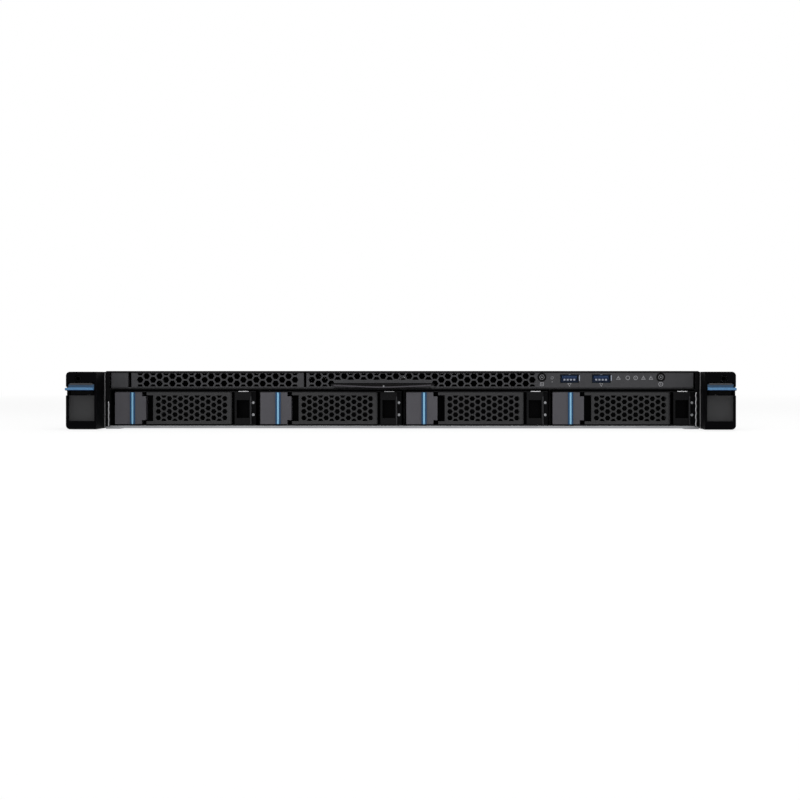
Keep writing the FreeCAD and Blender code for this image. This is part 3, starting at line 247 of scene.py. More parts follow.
grain_group, grain_in = new_group("fine_grain", [("Scale", 1800.0), ("Blotches", 25.0)],
                                  [("Height", "Float"), ("Blotch", "Float")])
feed_outputs(grain_group, {"Height": object_noise(grain_group, grain_in["Scale"], 2.0),
                           "Blotch": object_noise(grain_group, grain_in["Blotches"], 4.0)})
print("group", grain_group.name)

# %% [markdown]
# ### Rolled metal
# Rolled sheet has streaks along the rolling direction, which is noise stretched along one axis. Zinc adds
# crystals, and a smoothed Voronoi pattern gives their soft patches.

# %% A group for the grain of rolled and brushed metal
STREAK_STRETCH = (1.0, 40.0, 40.0)
brush_group, brush_in = new_group("brushed", [("Fineness", 60.0)],
                                  [("Height", "Float"), ("Streak", "Float"), ("Spangle", "Float")])
streak = object_noise(brush_group, brush_in["Fineness"], 3.0, STREAK_STRETCH)
crystal_spot = add_node(brush_group, "TexCoord").outputs["Object"]
crystal = add_node(brush_group, "TexVoronoi", {"Vector": crystal_spot, "Scale": 90.0, "Smoothness": 0.6},
                   feature="SMOOTH_F1")
crystal_value = add_node(brush_group, "SeparateColor", {"Color": crystal.outputs["Color"]})
feed_outputs(brush_group, {"Height": streak, "Streak": streak, "Spangle": crystal_value.outputs["Red"]})
print("group", brush_group.name)

# %% [markdown]
# ### Soft edges
# No real edge is perfectly sharp. The Bevel node bends the normal near an edge, and where the bent normal
# leaves the true one, the surface is near an edge. That difference becomes a mask for lighter edges, which
# stand for wear and, on mouldings, partly for a painted highlight where an edge catches light.

# %% A group for edges that are slightly rounded, with a mask for lighter edges
edge_group, edge_in = new_group("soft_edges", [("Radius", 0.25 * MM)],
                                [("Normal", "Vector"), ("Edge", "Float")])
rounding = add_node(edge_group, "Bevel", {"Radius": edge_in["Radius"]}, samples=4).outputs["Normal"]
flat_normal = add_node(edge_group, "NewGeometry").outputs["Normal"]
agree = add_node(edge_group, "VectorMath", {0: rounding, 1: flat_normal}, operation="DOT_PRODUCT")
feed_outputs(edge_group, {"Normal": rounding,
                          "Edge": spread_value(edge_group, agree.outputs["Value"], 0.0, 1.0, 0.99, 0.75)})
print("group", edge_group.name)

# %% [markdown]
# ## Finishes
# The real machine has few materials: galvanised sheet, black powder coat, charcoal and grey mouldings,
# blue touch points, nickel ports and green boards. Each gets one procedural finish that reads Object
# coordinates, so the grain keeps its size on a small latch and on a long cover. Colours are written as
# they look on a display and turned into the linear values that the shader wants.

# %% Helpers for colours
def tone(red, green, blue):
    """A display colour, 0 to 255, as the linear colour that a shader takes."""
    parts = [value / 255 for value in (red, green, blue)]
    line = [part / 12.92 if part <= 0.04045 else ((part + 0.055) / 1.055) ** 2.4 for part in parts]
    return (*line, 1.0)


def shade_of(colour, factor):
    """The same colour, lighter or darker."""
    return tuple(min(1.0, part * factor) for part in colour[:3]) + (1.0,)


print("mid grey is", round(tone(128, 128, 128)[0], 3))

# %% [markdown]
# ### From a shader to a surface
# Every finish takes the same path: a start with a few plain values, a colour that is lighter at an edge, for
# wear and on mouldings partly as a painted highlight, a roughness that follows the blotches, and a shallow
# bump. A helper for each keeps the recipes short.

# %% Helpers that build a finish
RELIEF_DEPTH = 0.1 * MM


def start_finish(name, roughness, metallic=0.0, gloss=0.5):
    """A new material with its tree and its shader."""
    material, tree, shader = new_material(name)
    shader.inputs["Metallic"].default_value = metallic
    shader.inputs["Specular IOR Level"].default_value = gloss
    shader.inputs["Roughness"].default_value = roughness
    return material, tree, shader


def use_group(tree, group, values):
    """One use of a shared effect, with its own values; returns its outputs."""
    return add_node(tree, "Group", node_tree=group, inputs=values).outputs


def mix_tones(tree, factor, first, second):
    """The output of a colour mix; first and second are colours or sockets."""
    return add_node(tree, "Mix", {0: factor, 6: first, 7: second}, data_type="RGBA").outputs[2]


def relief(tree, shader, height, normal, strength):
    """A shallow bump over the rounded edges' normal, into the shader."""
    bump = add_node(tree, "Bump", {"Strength": strength, "Distance": RELIEF_DEPTH, "Height": height,
                                   "Normal": normal})
    tree.links.new(bump.outputs["Normal"], shader.inputs["Normal"])


def cover_surface(tree, shader, body, grain, edges, edge_colour, edge_share, rough):
    """Wires the colour with its lighter edges, and the sheen that follows the blotches."""
    share = spread_value(tree, edges["Edge"], 0.0, edge_share, 0.0, 1.0)
    tree.links.new(mix_tones(tree, share, body, edge_colour), shader.inputs["Base Color"])
    tree.links.new(spread_value(tree, grain["Blotch"], *rough), shader.inputs["Roughness"])


print("relief is", RELIEF_DEPTH / MM, "mm deep")

# %% [markdown]
# ### Mouldings
# A moulded face is one colour through and through. What shows is spark-eroded grain from the mould, a sheen
# that changes where hands have been, and lighter edges, which are partly wear and partly a painted highlight
# where an edge catches light. The grain is a bump with a tiny depth, and the sheen is the roughness, which
# follows slow noise.

# %% Moulded plastics
def moulding(name, colour, rough=(0.42, 0.55), grain_scale=1500.0, strength=0.25, edge_wear_and_highlight=1.6, gloss=0.15):
    """A moulded plastic with fine grain, uneven sheen and lighter edges, partly wear and partly painted
    highlight.
    """
    material, tree, shader = start_finish(name, rough[0], gloss=gloss)
    grain = use_group(tree, grain_group, {"Scale": grain_scale, "Blotches": 22.0})
    edges = use_group(tree, edge_group, {"Radius": 0.25 * MM})
    body = mix_tones(tree, grain["Blotch"], shade_of(colour, 0.9), shade_of(colour, 1.1))
    cover_surface(tree, shader, body, grain, edges, shade_of(colour, edge_wear_and_highlight), 0.7, rough)
    relief(tree, shader, grain["Height"], edges["Normal"], strength)
    return material


finishes = {
    "dark_plastic": moulding("charcoal_moulding", tone(56, 56, 58)),
    "grey_plastic": moulding("grey_moulding", tone(50, 50, 51), rough=(0.45, 0.6)),
    "black_plastic": moulding("black_moulding", tone(4, 4, 5), rough=(0.45, 0.6), edge_wear_and_highlight=2.2, gloss=0.02),
    "latch_plastic": moulding("latch_moulding", tone(12, 12, 13)),
    "release_plastic": moulding("release_moulding", tone(72, 71, 75), rough=(0.45, 0.58)),
    "button_plastic": moulding("button_moulding", tone(14, 14, 15), rough=(0.25, 0.35), strength=0.1),
    "tag_plastic": moulding("tag_moulding", tone(10, 10, 11), rough=(0.35, 0.45), strength=0.1, gloss=0.1),
    "touch_plastic": moulding("terracotta_moulding", tone(142, 62, 44)),
    "duct_plastic": moulding("duct_sheet_plastic", tone(34, 34, 36), grain_scale=900.0),
}
# Two copies of one blue: the light one is a painted highlight on the stripe's core, the deep one painted
# shade on its flanks.
lit_blue_core = moulding("lit_blue_core", tone(124, 172, 202), rough=(0.4, 0.5), strength=0.1, edge_wear_and_highlight=1.1)
shaded_blue_flanks = moulding("shaded_blue_flanks", tone(32, 62, 92), rough=(0.4, 0.5), strength=0.1)
tongue_blue = moulding("tongue_blue", tone(44, 66, 100), rough=(0.35, 0.45), strength=0.1)
print("mouldings", len(finishes) + 3)

# %% [markdown]
# ### Metals
# Galvanised sheet shows two patterns at once: large soft crystals in the zinc, and long streaks from the
# rolling mill. The streaks run along the sheet. Powder coat is the opposite, an even black with a
# pebbled surface.

# %% Recipes for metal
def brushed_metal(name, dark, light, rough=(0.28, 0.42), metallic=0.9, fineness=60.0, spangle=0.5):
    """A plated or plain metal: streaks, crystals and bright edges."""
    material, tree, shader = start_finish(name, rough[0], metallic)
    brush = use_group(tree, brush_group, {"Fineness": fineness})
    grain = use_group(tree, grain_group, {"Scale": 500.0, "Blotches": 9.0})
    edges = use_group(tree, edge_group, {"Radius": 0.2 * MM})
    pattern = add_node(tree, "Mix", {0: spangle, 2: brush["Streak"], 3: brush["Spangle"]}).outputs[0]
    body = mix_tones(tree, pattern, dark, light)
    cover_surface(tree, shader, body, grain, edges, shade_of(light, 1.2), 0.6, rough)
    relief(tree, shader, brush["Height"], edges["Normal"], 0.08)
    return material


def galvanised(name):
    """Zinc on rolled sheet."""
    return brushed_metal(name, tone(128, 129, 131), tone(160, 161, 164), rough=(0.38, 0.5), metallic=0.85,
                         spangle=0.35)


def powder_coat(name, colour, rough=(0.45, 0.6)):
    """A sprayed and baked coat: pebbled, even, worn a little at the edges."""
    material, tree, shader = start_finish(name, rough[0], gloss=0.05)
    grain = use_group(tree, grain_group, {"Scale": 2200.0, "Blotches": 14.0})
    edges = use_group(tree, edge_group, {"Radius": 0.25 * MM})
    body = mix_tones(tree, grain["Blotch"], shade_of(colour, 0.85), shade_of(colour, 1.15))
    cover_surface(tree, shader, body, grain, edges, shade_of(colour, 2.5), 0.5, rough)
    relief(tree, shader, grain["Height"], edges["Normal"], 0.5)
    return material


print("metal recipes ready")

# %% [markdown]
# ### The metals of this machine
# Nickel and aluminium are brushed, each at its own fineness. The shells of the ports are the brightest,
# the screws are plain steel, and the contacts are gold, because gold doesn't tarnish.

# %% Metal finishes
finishes["zinc_steel"] = galvanised("galvanised_sheet")
finishes["black_steel"] = powder_coat("black_powder_coat", tone(26, 26, 27))
finishes["port_metal"] = brushed_metal("bright_nickel", tone(178, 176, 170), tone(214, 212, 206),
                                       rough=(0.2, 0.3), spangle=0.1, fineness=200.0)
finishes["fin_metal"] = brushed_metal("extruded_aluminium", tone(188, 190, 192), tone(214, 216, 218),
                                      rough=(0.3, 0.4), spangle=0.0, fineness=140.0)
finishes["chip_metal"] = brushed_metal("nickel_lid", tone(160, 158, 152), tone(180, 178, 172),
                                       rough=(0.2, 0.3), spangle=0.1, fineness=220.0)
finishes["drive_metal"] = powder_coat("black_cast_drive", tone(24, 24, 25))
plain_steel = brushed_metal("bright_screw_steel", tone(140, 140, 142), tone(188, 188, 190),
                            rough=(0.25, 0.35), spangle=0.0, fineness=400.0)
gold_contact = brushed_metal("gold_contact", tone(176, 140, 60), tone(220, 184, 96),
                             rough=(0.2, 0.3), spangle=0.0, fineness=400.0)
print("finishes", len(finishes))

# %% [markdown]
# ### Circuit boards
# A board is green lacquer over copper. The copper lies a little proud, so its tracks show as slightly
# lighter lines. A Voronoi pattern measured along the axes gives runs that turn at right angles, which is
# how a router lays tracks.

# %% Board finish
board_paint, board_tree, board_shader = start_finish("board_lacquer", 0.3)
board_spot = add_node(board_tree, "TexCoord").outputs["Object"]
tracks = add_node(board_tree, "TexVoronoi", {"Vector": board_spot, "Scale": 220.0}, feature="F1",
                  distance="CHEBYCHEV")
track_line = add_node(board_tree, "Math", {0: tracks.outputs["Distance"], 1: 0.12}, operation="PINGPONG")
track_mask = spread_value(board_tree, track_line.outputs[0], 0.0, 1.0, 0.06, 0.075)
board_colour = mix_tones(board_tree, track_mask, tone(16, 62, 38), tone(30, 92, 56))
board_tree.links.new(board_colour, board_shader.inputs["Base Color"])
board_grain = use_group(board_tree, grain_group, {"Scale": 600.0, "Blotches": 30.0})
board_sheen = spread_value(board_tree, board_grain["Blotch"], 0.25, 0.4)
board_tree.links.new(board_sheen, board_shader.inputs["Roughness"])
board_edges = use_group(board_tree, edge_group, {"Radius": 0.1 * MM})
relief(board_tree, board_shader, track_mask, board_edges["Normal"], 0.2)
finishes["board_green"] = board_paint
print("board finish", board_paint.name)

# %% [markdown]
# ### Finishes on the solids
# The record of the construction names a material slot for each solid. The finish of that slot goes on the
# solid, and a few solids get a finish of their own further down.

# %% Each solid takes the finish of its slot
slot_of = {part["node"]: part["material_slot"] for part in frame["record"]["subparts"]}
for name, solid in nodes.items():
    solid.data.materials.clear()
    solid.data.materials.append(finishes[slot_of[name]])
print("solids with a finish", sum(1 for solid in nodes.values() if solid.data.materials[0]))

# %% [markdown]
# ## Building blocks
# Nearly every small part of a server is a bevelled block, a turned shape, a flat mark or a fastener. A few
# helpers make these from bmesh operators. Lengths are given in millimetres from three planes that a
# drawing would also use: the middle of the machine, its front plane and the floor.

# %% Helpers for places
def place(x, y, z):
    """A point: x from the middle, y behind the front plane, z above the floor, in millimetres."""
    return Vector((x * MM, front_y + y * MM, z * MM))


def in_mm(point):
    """A point of the frame as millimetres from those planes."""
    return Vector((point.x / MM, (point.y - front_y) / MM, point.z / MM))


def box_mm(node):
    """The corners of a solid in those millimetres."""
    low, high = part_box(node)
    return in_mm(low), in_mm(high)


def middle_mm(node):
    """The middle of a solid in those millimetres."""
    low, high = box_mm(node)
    return (low + high) / 2


print("tray 1 has its middle at", [round(value, 1) for value in middle_mm("drive_tray_1")])

# %% [markdown]
# ### From a bmesh to a piece
# An operator may leave faces turned inwards, so the normals are worked out once, when the shape is done.
# A piece then takes its finish and rides on the body that moves it.

# %% Helpers that end a piece
def keep_mesh(name, shape):
    """Turns a bmesh into a mesh whose faces point outwards."""
    bmesh.ops.recalc_face_normals(shape, faces=shape.faces)
    mesh = bpy.data.meshes.new(name)
    shape.to_mesh(mesh)
    shape.free()
    return mesh


def finish_piece(name, shape, material, body="root", smooth=False):
    """Turns a bmesh into a piece that rides on a body."""
    mesh = keep_mesh(name, shape)
    mesh.materials.append(material)
    if smooth:
        mesh.shade_smooth()
    piece = bpy.data.objects.new(name, mesh)
    scene.collection.objects.link(piece)
    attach(piece, body)


print("piece helpers ready")

# %% [markdown]
# ### Blocks
# A block is a cube scaled between two corners, with its edges bevelled, because a sharp edge catches no
# light. Many small blocks of one kind make one piece, which keeps the list of pieces short.

# %% Helpers that shape blocks
def round_off(shape, edges, radius, segments):
    """Bevels edges by a radius in millimetres."""
    bmesh.ops.bevel(shape, geom=edges, offset=radius * MM, offset_type="OFFSET", affect="EDGES",
                    segments=segments, profile=0.5, material=-1)


def add_block(shape, low, high, bevel):
    """A box between two corners, with rounded edges."""
    made = bmesh.ops.create_cube(shape, size=1.0)["verts"]
    low, high = place(*low), place(*high)
    bmesh.ops.scale(shape, vec=high - low, verts=made)
    bmesh.ops.translate(shape, vec=(low + high) / 2, verts=made)
    if bevel:
        round_off(shape, list({edge for vert in made for edge in vert.link_edges}), bevel, 2)


def block_piece(name, blocks, material, body="root", bevel=0.1):
    """A piece of blocks; each is two corners and, where it differs, its own bevel."""
    shape = bmesh.new()
    for low, high, *own in blocks:
        add_block(shape, low, high, own[0] if own else bevel)
    finish_piece(name, shape, material, body)


print("block helpers ready")

# %% [markdown]
# ### Turned parts and rows of copies
# A turned part is a profile spun once round. A part that comes back many times, such as a screw, is made
# once as a mesh that stands on the floor plane, and a row stamps copies of it, each turned to face its
# side of the machine.

# %% Helpers that turn and stamp
FACING = {"front": Matrix.Rotation(math.radians(90), 4, "X"),
          "rear": Matrix.Rotation(math.radians(-90), 4, "X"),
          "left": Matrix.Rotation(math.radians(-90), 4, "Y"),
          "right": Matrix.Rotation(math.radians(90), 4, "Y"),
          "up": Matrix.Identity(4)}


def stamp(shape, mesh, matrix):
    """Adds a copy of a ready mesh to the shape."""
    before = len(shape.verts)
    shape.from_mesh(mesh)
    shape.verts.ensure_lookup_table()
    bmesh.ops.transform(shape, matrix=matrix, verts=shape.verts[before:])


def add_row(name, mesh, spots, facing, material, body="root", smooth=False):
    """One piece made of copies of a mesh at several places."""
    shape = bmesh.new()
    for spot in spots:
        stamp(shape, mesh, Matrix.Translation(place(*spot)) @ FACING[facing])
    finish_piece(name, shape, material, body, smooth)


def turned_mesh(name, profile, steps=16):
    """A mesh spun round Z from (radius, height) pairs in millimetres."""
    shape = bmesh.new()
    line = [shape.verts.new((radius * MM, 0, height * MM)) for radius, height in profile]
    edges = [shape.edges.new(pair) for pair in zip(line, line[1:])]
    bmesh.ops.spin(shape, geom=line + edges, cent=(0, 0, 0), axis=(0, 0, 1), angle=2 * math.pi,
                   steps=steps, use_merge=True, use_duplicate=False)
    bmesh.ops.remove_doubles(shape, verts=shape.verts, dist=1e-7)
    return keep_mesh(name, shape)


print("facings:", ", ".join(FACING))

# %% [markdown]
# ### Fasteners
# A machine screw with a star recess starts as one disc. Its face is extruded up, narrowed to a dome, inset
# to the recess, every second corner is pulled in to make the star, and the star is sunk. A rivet is a
# turned dome. One mesh of each is made, and every row of fasteners stamps copies of it.

# %% Screw and rivet
SCREW_CORNERS = 12
STAR_DEPTH = 0.68
DOME = ((0.55, 1.0), (0.85, 0.88), (1.0, 0.66), (1.0, 0.46))
RECESS = (0.45, 0.46)


def screw_mesh(name, radius, height):
    """A domed head with a star recess, standing on z = 0."""
    shape = bmesh.new()
    bmesh.ops.create_circle(shape, cap_ends=True, segments=SCREW_CORNERS, radius=radius * MM)
    face = shape.faces[:][0]
    level, width = 0.0, 1.0
    for rise, share in (*DOME, RECESS):
        made = bmesh.ops.extrude_face_region(shape, geom=[face])["geom"]
        face = next(item for item in made if isinstance(item, bmesh.types.BMFace))
        bmesh.ops.translate(shape, vec=(0, 0, (rise - level) * height * MM), verts=face.verts)
        bmesh.ops.scale(shape, vec=(share / width, share / width, 1), verts=face.verts)
        if (rise, share) == DOME[-1]:
            bmesh.ops.scale(shape, vec=(STAR_DEPTH, STAR_DEPTH, 1), verts=list(face.verts)[::2])
        level, width = rise, share
    return keep_mesh(name, shape)


screw_small = screw_mesh("screw_small", 1.8, 0.6)
rivet = turned_mesh("rivet", [(0, 0.55), (0.9, 0.5), (1.6, 0.3), (1.9, 0.0)], 12)
print("screw has", len(screw_small.polygons), "faces, rivet", len(rivet.polygons))

# %% [markdown]
# ### Flat marks
# Printed signs are thin ink. Each starts as a flat circle with few or many sides, so the same operator
# gives a dot, a ring, a triangle and a square. An inset leaves the rim, and a very thin extrusion gives
# the ink its thickness, so the sign is a closed solid.

# %% Rings and dots
def push(shape, extruded, step):
    """Moves what an extrusion made by a step in millimetres."""
    moved = [item for item in extruded["geom"] if isinstance(item, bmesh.types.BMVert)]
    bmesh.ops.translate(shape, vec=Vector(step) * MM, verts=moved)


def thicken(shape, height):
    """Gives flat faces a height along Z, in millimetres."""
    push(shape, bmesh.ops.extrude_face_region(shape, geom=shape.faces[:]), (0, 0, height))


def open_middle(shape, face, rim):
    """Leaves only a rim of a face, of a width in millimetres."""
    bmesh.ops.inset_region(shape, faces=[face], thickness=rim * MM, use_boundary=True,
                           use_even_offset=True)
    bmesh.ops.delete(shape, geom=[face], context="FACES_ONLY")


def flat_mesh(name, outer, inner, sides, thick=0.08):
    """A disc, or a rim when inner is given, standing on z = 0."""
    shape = bmesh.new()
    made = bmesh.ops.create_circle(shape, cap_ends=True, segments=sides, radius=outer * MM)["verts"]
    if inner:
        open_middle(shape, made[0].link_faces[0], (outer - inner) * math.cos(math.pi / sides))
    thicken(shape, thick)
    return keep_mesh(name, shape)


mark_ring = flat_mesh("mark_ring", 1.4, 1.0, 18)
mark_dot = flat_mesh("mark_dot", 0.5, 0, 12)
mark_triangle = flat_mesh("mark_triangle", 1.7, 1.0, 3)
mark_square = flat_mesh("mark_square", 1.7, 1.15, 4)
print("marks:", [len(mesh.polygons) for mesh in (mark_ring, mark_dot, mark_triangle, mark_square)])

# %% [markdown]
# ### Finishes of small parts
# The small parts need a few finishes more: grey ink, black rubber, which also stands as painted shade in
# gaps, slots and holes, clear light pipes in three colours and a black screw. They come from the same two
# recipes with their own values.

# %% Finishes for the small parts
print_grey = moulding("grey_print", tone(128, 128, 131), rough=(0.5, 0.6), strength=0.05)
# Black rubber for pads and ribs, also used as painted shade in gaps, slots and holes.
black_rubber_and_shade = moulding("black_rubber_and_shade", tone(7, 7, 8), rough=(0.6, 0.75), gloss=0.05)


def clear_pipe(name, colour):
    """A smooth, glossy light pipe."""
    return moulding(name, colour, rough=(0.12, 0.2), strength=0.02, gloss=0.5)


light_pipe = clear_pipe("light_pipe", tone(132, 133, 136))
green_pipe = clear_pipe("green_light_pipe", tone(96, 128, 92))
amber_pipe = clear_pipe("amber_light_pipe", tone(168, 122, 60))
black_screw = powder_coat("black_screw", tone(12, 12, 13))
white_moulding = moulding("white_moulding", tone(198, 197, 192))
print("small finishes ready")

# %% [markdown]
# ## Two colours on one solid
# Some solids are one moulding with a painted or inserted area, such as the blue lip of the ear lever, whose
# bands hold painted highlight and painted shade as well as its blue. The area is a block in Object
# coordinates, and those ride with the solid, so the paint never slides off when the lever swings. Each side
# of the block is a soft step, and the steps multiply to a mask.

# %% Paint a region of a finish
STEP_HALF = 0.04 * MM


def paint_region(material, colour, ranges, metallic=None):
    """Colours a block-shaped region; ranges give each axis its low and high in millimetres."""
    tree = material.node_tree
    shader = tree.nodes["Principled BSDF"]
    body = shader.inputs["Base Color"].links[0].from_socket
    spot = add_node(tree, "TexCoord").outputs["Object"]
    split = add_node(tree, "SeparateXYZ", {0: spot}).outputs
    steps = []
    for axis, limits in ranges.items():
        low, high = (place(limit, limit, limit)["XYZ".index(axis)] for limit in limits)
        steps.append(spread_value(tree, split[axis], 0.0, 1.0, low - STEP_HALF, low + STEP_HALF))
        steps.append(spread_value(tree, split[axis], 1.0, 0.0, high - STEP_HALF, high + STEP_HALF))
    mask = steps[0]
    for step in steps[1:]:
        mask = add_node(tree, "Math", {0: mask, 1: step}, operation="MULTIPLY").outputs[0]
    tree.links.new(mix_tones(tree, mask, body, colour), shader.inputs["Base Color"])
    if metallic is not None:
        plain = shader.inputs["Metallic"].default_value
        tree.links.new(spread_value(tree, mask, plain, metallic, 0.0, 1.0), shader.inputs["Metallic"])


ear_low, ear_high = box_mm("ear_left")
ear_middle = (ear_low.z + ear_high.z) / 2
lip_y = box_mm("rack_latch_left")[0].y
LIP_Y = (lip_y - 6.1, lip_y + 3.9)
# Bands of the lever, top down: grey, then grey-blue, a painted gradient from grey to blue; a light blue band,
# a painted highlight on the lip's rounded top; a navy band, painted shade under the lip.
LEVER_COLOUR_LIGHT_AND_SHADE_BANDS = ((11.6, 13.6, tone(70, 71, 75)), (9.5, 11.6, tone(54, 76, 98)),
               (7.7, 9.5, tone(78, 118, 154)), (6.5, 7.7, tone(12, 34, 68)))
for low, high, colour in LEVER_COLOUR_LIGHT_AND_SHADE_BANDS:
    band = {"Z": (ear_middle + low, ear_middle + high), "Y": LIP_Y}
    paint_region(finishes["latch_plastic"], colour, band)
print("lever lip at", round(lip_y, 2))

# %% [markdown]
# ### Tray fronts
# A tray is black sheet, but its front has areas of its own: the block with the deep pocket is a little
# lighter than the pocket, and the strip that holds the light pipes is pure black beside a thin rim. Both the
# pocket and the strip lie behind the front face, and their near black is painted shade; the thin rim is
# painted lighter as a painted highlight on its edge. The four trays share one finish, so the rim highlight is
# painted once per bay.

# %% Tray paint
TRAYS = range(1, 5)
RECESS_SHADE_Y = (1.3, 60)
RIM_HIGHLIGHT_X = (48.4, 48.9)
tray_paint = powder_coat("black_tray", tone(18, 18, 19), rough=(0.5, 0.65))
# Painted shade: everything behind the front face is near black.
paint_region(tray_paint, tone(3, 3, 4), {"Y": RECESS_SHADE_Y})
for number in TRAYS:
    middle = middle_mm(f"drive_tray_{number}").x
    rim = {"X": [middle + x for x in RIM_HIGHLIGHT_X], "Z": (3, 24), "Y": (0, 1)}
    # Painted highlight: a thin lighter rim on the edge beside the strip.
    paint_region(tray_paint, tone(58, 58, 60), rim)
    nodes[f"drive_tray_{number}"].data.materials[0] = tray_paint
# Lighter edges on the grille's webs: partly wear, partly a painted highlight where the webs catch light.
grille_paint = moulding("grille_moulding", tone(46, 46, 47), edge_wear_and_highlight=1.9)
for number in TRAYS:
    nodes[f"tray_handle_{number}"].data.materials[0] = grille_paint
# The fan bracket is black powder coat; its black also stands as painted shade, so the inside stays dark
# behind the grille.
nodes["fan_bracket"].data.materials[0] = finishes["black_steel"]
print("tray fronts painted")

# %% [markdown]
# ## The front edge
# Between the folded sheets of a real chassis sit things that a drawing skips: a black strip along the cover's
# edge and spring fingers that ground the panel to the walls. Black strips of painted shade fill the dark
# gaps, in the slot above and below the tag and at the corners beside the walls, and a black film under the
# cover is painted shade that keeps the inside dark behind the grille. They are small, but the front is seen
# edge on, so each shows as a line of its own brightness.

# %% Edge strip, strips of painted shade and the shade film under the cover
cover_low, cover_high = box_mm("front_cover")
panel_low = box_mm("front_panel")[0]
tag_low, tag_high = box_mm("info_tag")
block_piece("cover_edge_trim", [((cover_low.x + 0.5, -0.3, cover_high.z - 1.2),
                                 (cover_high.x - 0.5, 0, cover_high.z))],
            black_rubber_and_shade)
# Painted shade: a black film under the cover keeps the inside dark behind the grille.
block_piece("cover_shade_film", [((cover_low.x + 3.5, 3, cover_high.z - 1.05),
                            (cover_high.x - 3.5, cover_high.y - 1, cover_high.z - 0.85))],
            black_rubber_and_shade, bevel=0)
# Painted shade: black strips in the slot below and above the tag.
block_piece("tag_slot_shade_strip", [((tag_low.x, -0.2, panel_low.z + 0.1), (tag_high.x, 0.3, tag_low.z - 0.1))],
            black_rubber_and_shade)
block_piece("tag_slot_upper_shade_strip", [((tag_low.x - 2, -0.2, tag_high.z + 0.1),
                               (tag_high.x + 2, 0.3, tag_high.z + 0.9))],
            black_rubber_and_shade)
# Painted shade: black strips in the dark gaps at the corners beside the walls.
for side, label in SIDES:
    inner, outer = sorted((side * (cover_high.x - 2.7), side * cover_high.x))
    block_piece(f"corner_shade_strip_{label}", [((inner, -0.25, 1.8), (outer, 0.2, cover_high.z - 0.4))],
                black_rubber_and_shade)
print("front cover ends at z", round(cover_high.z, 2))

# %% [markdown]
# ### Spring fingers and flange edges
# A spring finger strip is one thin sheet, pressed into waves. A line of points that follows a sine is
# extruded into a ribbon, and the ribbon is given a thickness. Beside it, the bare edge of the ear's flange
# is a thin bright bar.

# %% Wavy springs and bright flange edges
SPRING_LOW, SPRING_Y, SPRING_PITCH = 2.0, -0.5, 5.2
POINTS_PER_WAVE = 8
FLANGE_X = (219.0, 219.34)
FLANGE_DEPTH = 2.0


def ribbon(points, breadth, thickness):
    """A thin strip that follows a line of points; breadth is a vector in millimetres."""
    shape = bmesh.new()
    line = [shape.verts.new(point) for point in points]
    edges = [shape.edges.new(pair) for pair in zip(line, line[1:])]
    push(shape, bmesh.ops.extrude_edge_only(shape, edges=edges), breadth)
    bmesh.ops.solidify(shape, geom=shape.faces[:], thickness=thickness * MM)
    return shape


def wave_points(x, high_z, wave):
    """A line along Z that waves in X."""
    rise = high_z - SPRING_LOW
    count = int(rise / SPRING_PITCH * POINTS_PER_WAVE)
    heights = [SPRING_LOW + rise * step / count for step in range(count + 1)]
    return [place(x + wave * math.sin(2 * math.pi * z / SPRING_PITCH), SPRING_Y, z) for z in heights]


for (side, label), wave, x, high_z, flange_y in ((SIDES[0], 0.1, 216.6, 20, -3.2),
                                                 (SIDES[1], 0.2, 217.5, 27, -6.6)):
    spring = ribbon(wave_points(side * x, high_z, wave), (0, 0.5, 0), 0.9)
    finish_piece(f"side_spring_{label}", spring, plain_steel, smooth=True)
    inner, outer = sorted(side * edge for edge in FLANGE_X)
    block_piece(f"ear_flange_{label}", [((inner, flange_y, ear_low.z + 0.2),
                                         (outer, flange_y + FLANGE_DEPTH, ear_high.z - 0.2))],
                plain_steel, bevel=0)
print("springs and flanges made")

# %% [markdown]
# ### The bright edge of the tag
# The tag's lip is bowed in plan and sags in the middle, and its top edge catches the light. A thin, lighter
# ribbon is that light as a painted highlight, and it follows both curves: a parabola for the bow and a soft
# dip for the sag. A small tick marks its middle.

# %% Edge and tick of the tag
BOW_RADIUS = 250
TAG_SAG = 1.4
EDGE_HALF_STEPS = 12
tag_middle = (tag_low.x + tag_high.x) / 2
tag_half = (tag_high.x - tag_low.x) / 2
points = []
for step in range(2 * EDGE_HALF_STEPS + 1):
    x = tag_middle + tag_half * (step / EDGE_HALF_STEPS - 1)
    bow = (x - tag_middle) ** 2 / (2 * BOW_RADIUS)
    sag = TAG_SAG * (1 - min(1.0, abs(x - tag_middle) / tag_half) ** 1.5)
    points.append(place(x, tag_low.y - 0.06 + bow, tag_high.z - 0.25 - sag))
# Painted highlight along the lip's top edge.
tag_edge_highlight = moulding("tag_edge_highlight", tone(62, 60, 64))
finish_piece("tag_lip_highlight", ribbon(points, (0, 0, -0.95), 0.12), tag_edge_highlight, "info_tag")
block_piece("tag_tick", [((tag_middle + 0.6, tag_low.y - 0.12, 30.9),
                          (tag_middle + 1.6, tag_low.y + 0.3, 32.2))],
            print_grey, "info_tag")
print("tag middle at", round(tag_middle, 2))

# %% [markdown]
# ### Captive rack screws
# One screw waits in each ear, for transport. Its head sits deep in the boss, so the front shows a dark
# disc with a star. The head is the shared screw, and the shank is a turned profile behind it.

# %% Screws in the ears
RACK_SCREW = (232.55, -26.0, 37.3)
SHANK = [(0, 0), (1.5, 0), (1.5, -17), (1.1, -18), (0, -18)]
for side, label in SIDES:
    shape = bmesh.new()
    x, y, z = RACK_SCREW
    facing = Matrix.Translation(place(side * x, y, z)) @ FACING["front"]
    stamp(shape, screw_mesh("captive_head", 2.35, 1.4), facing)
    stamp(shape, turned_mesh("captive_shank", SHANK, 12), facing)
    finish_piece(f"rack_screw_{label}", shape, black_screw)
print("captive screws stand at z", RACK_SCREW[2])

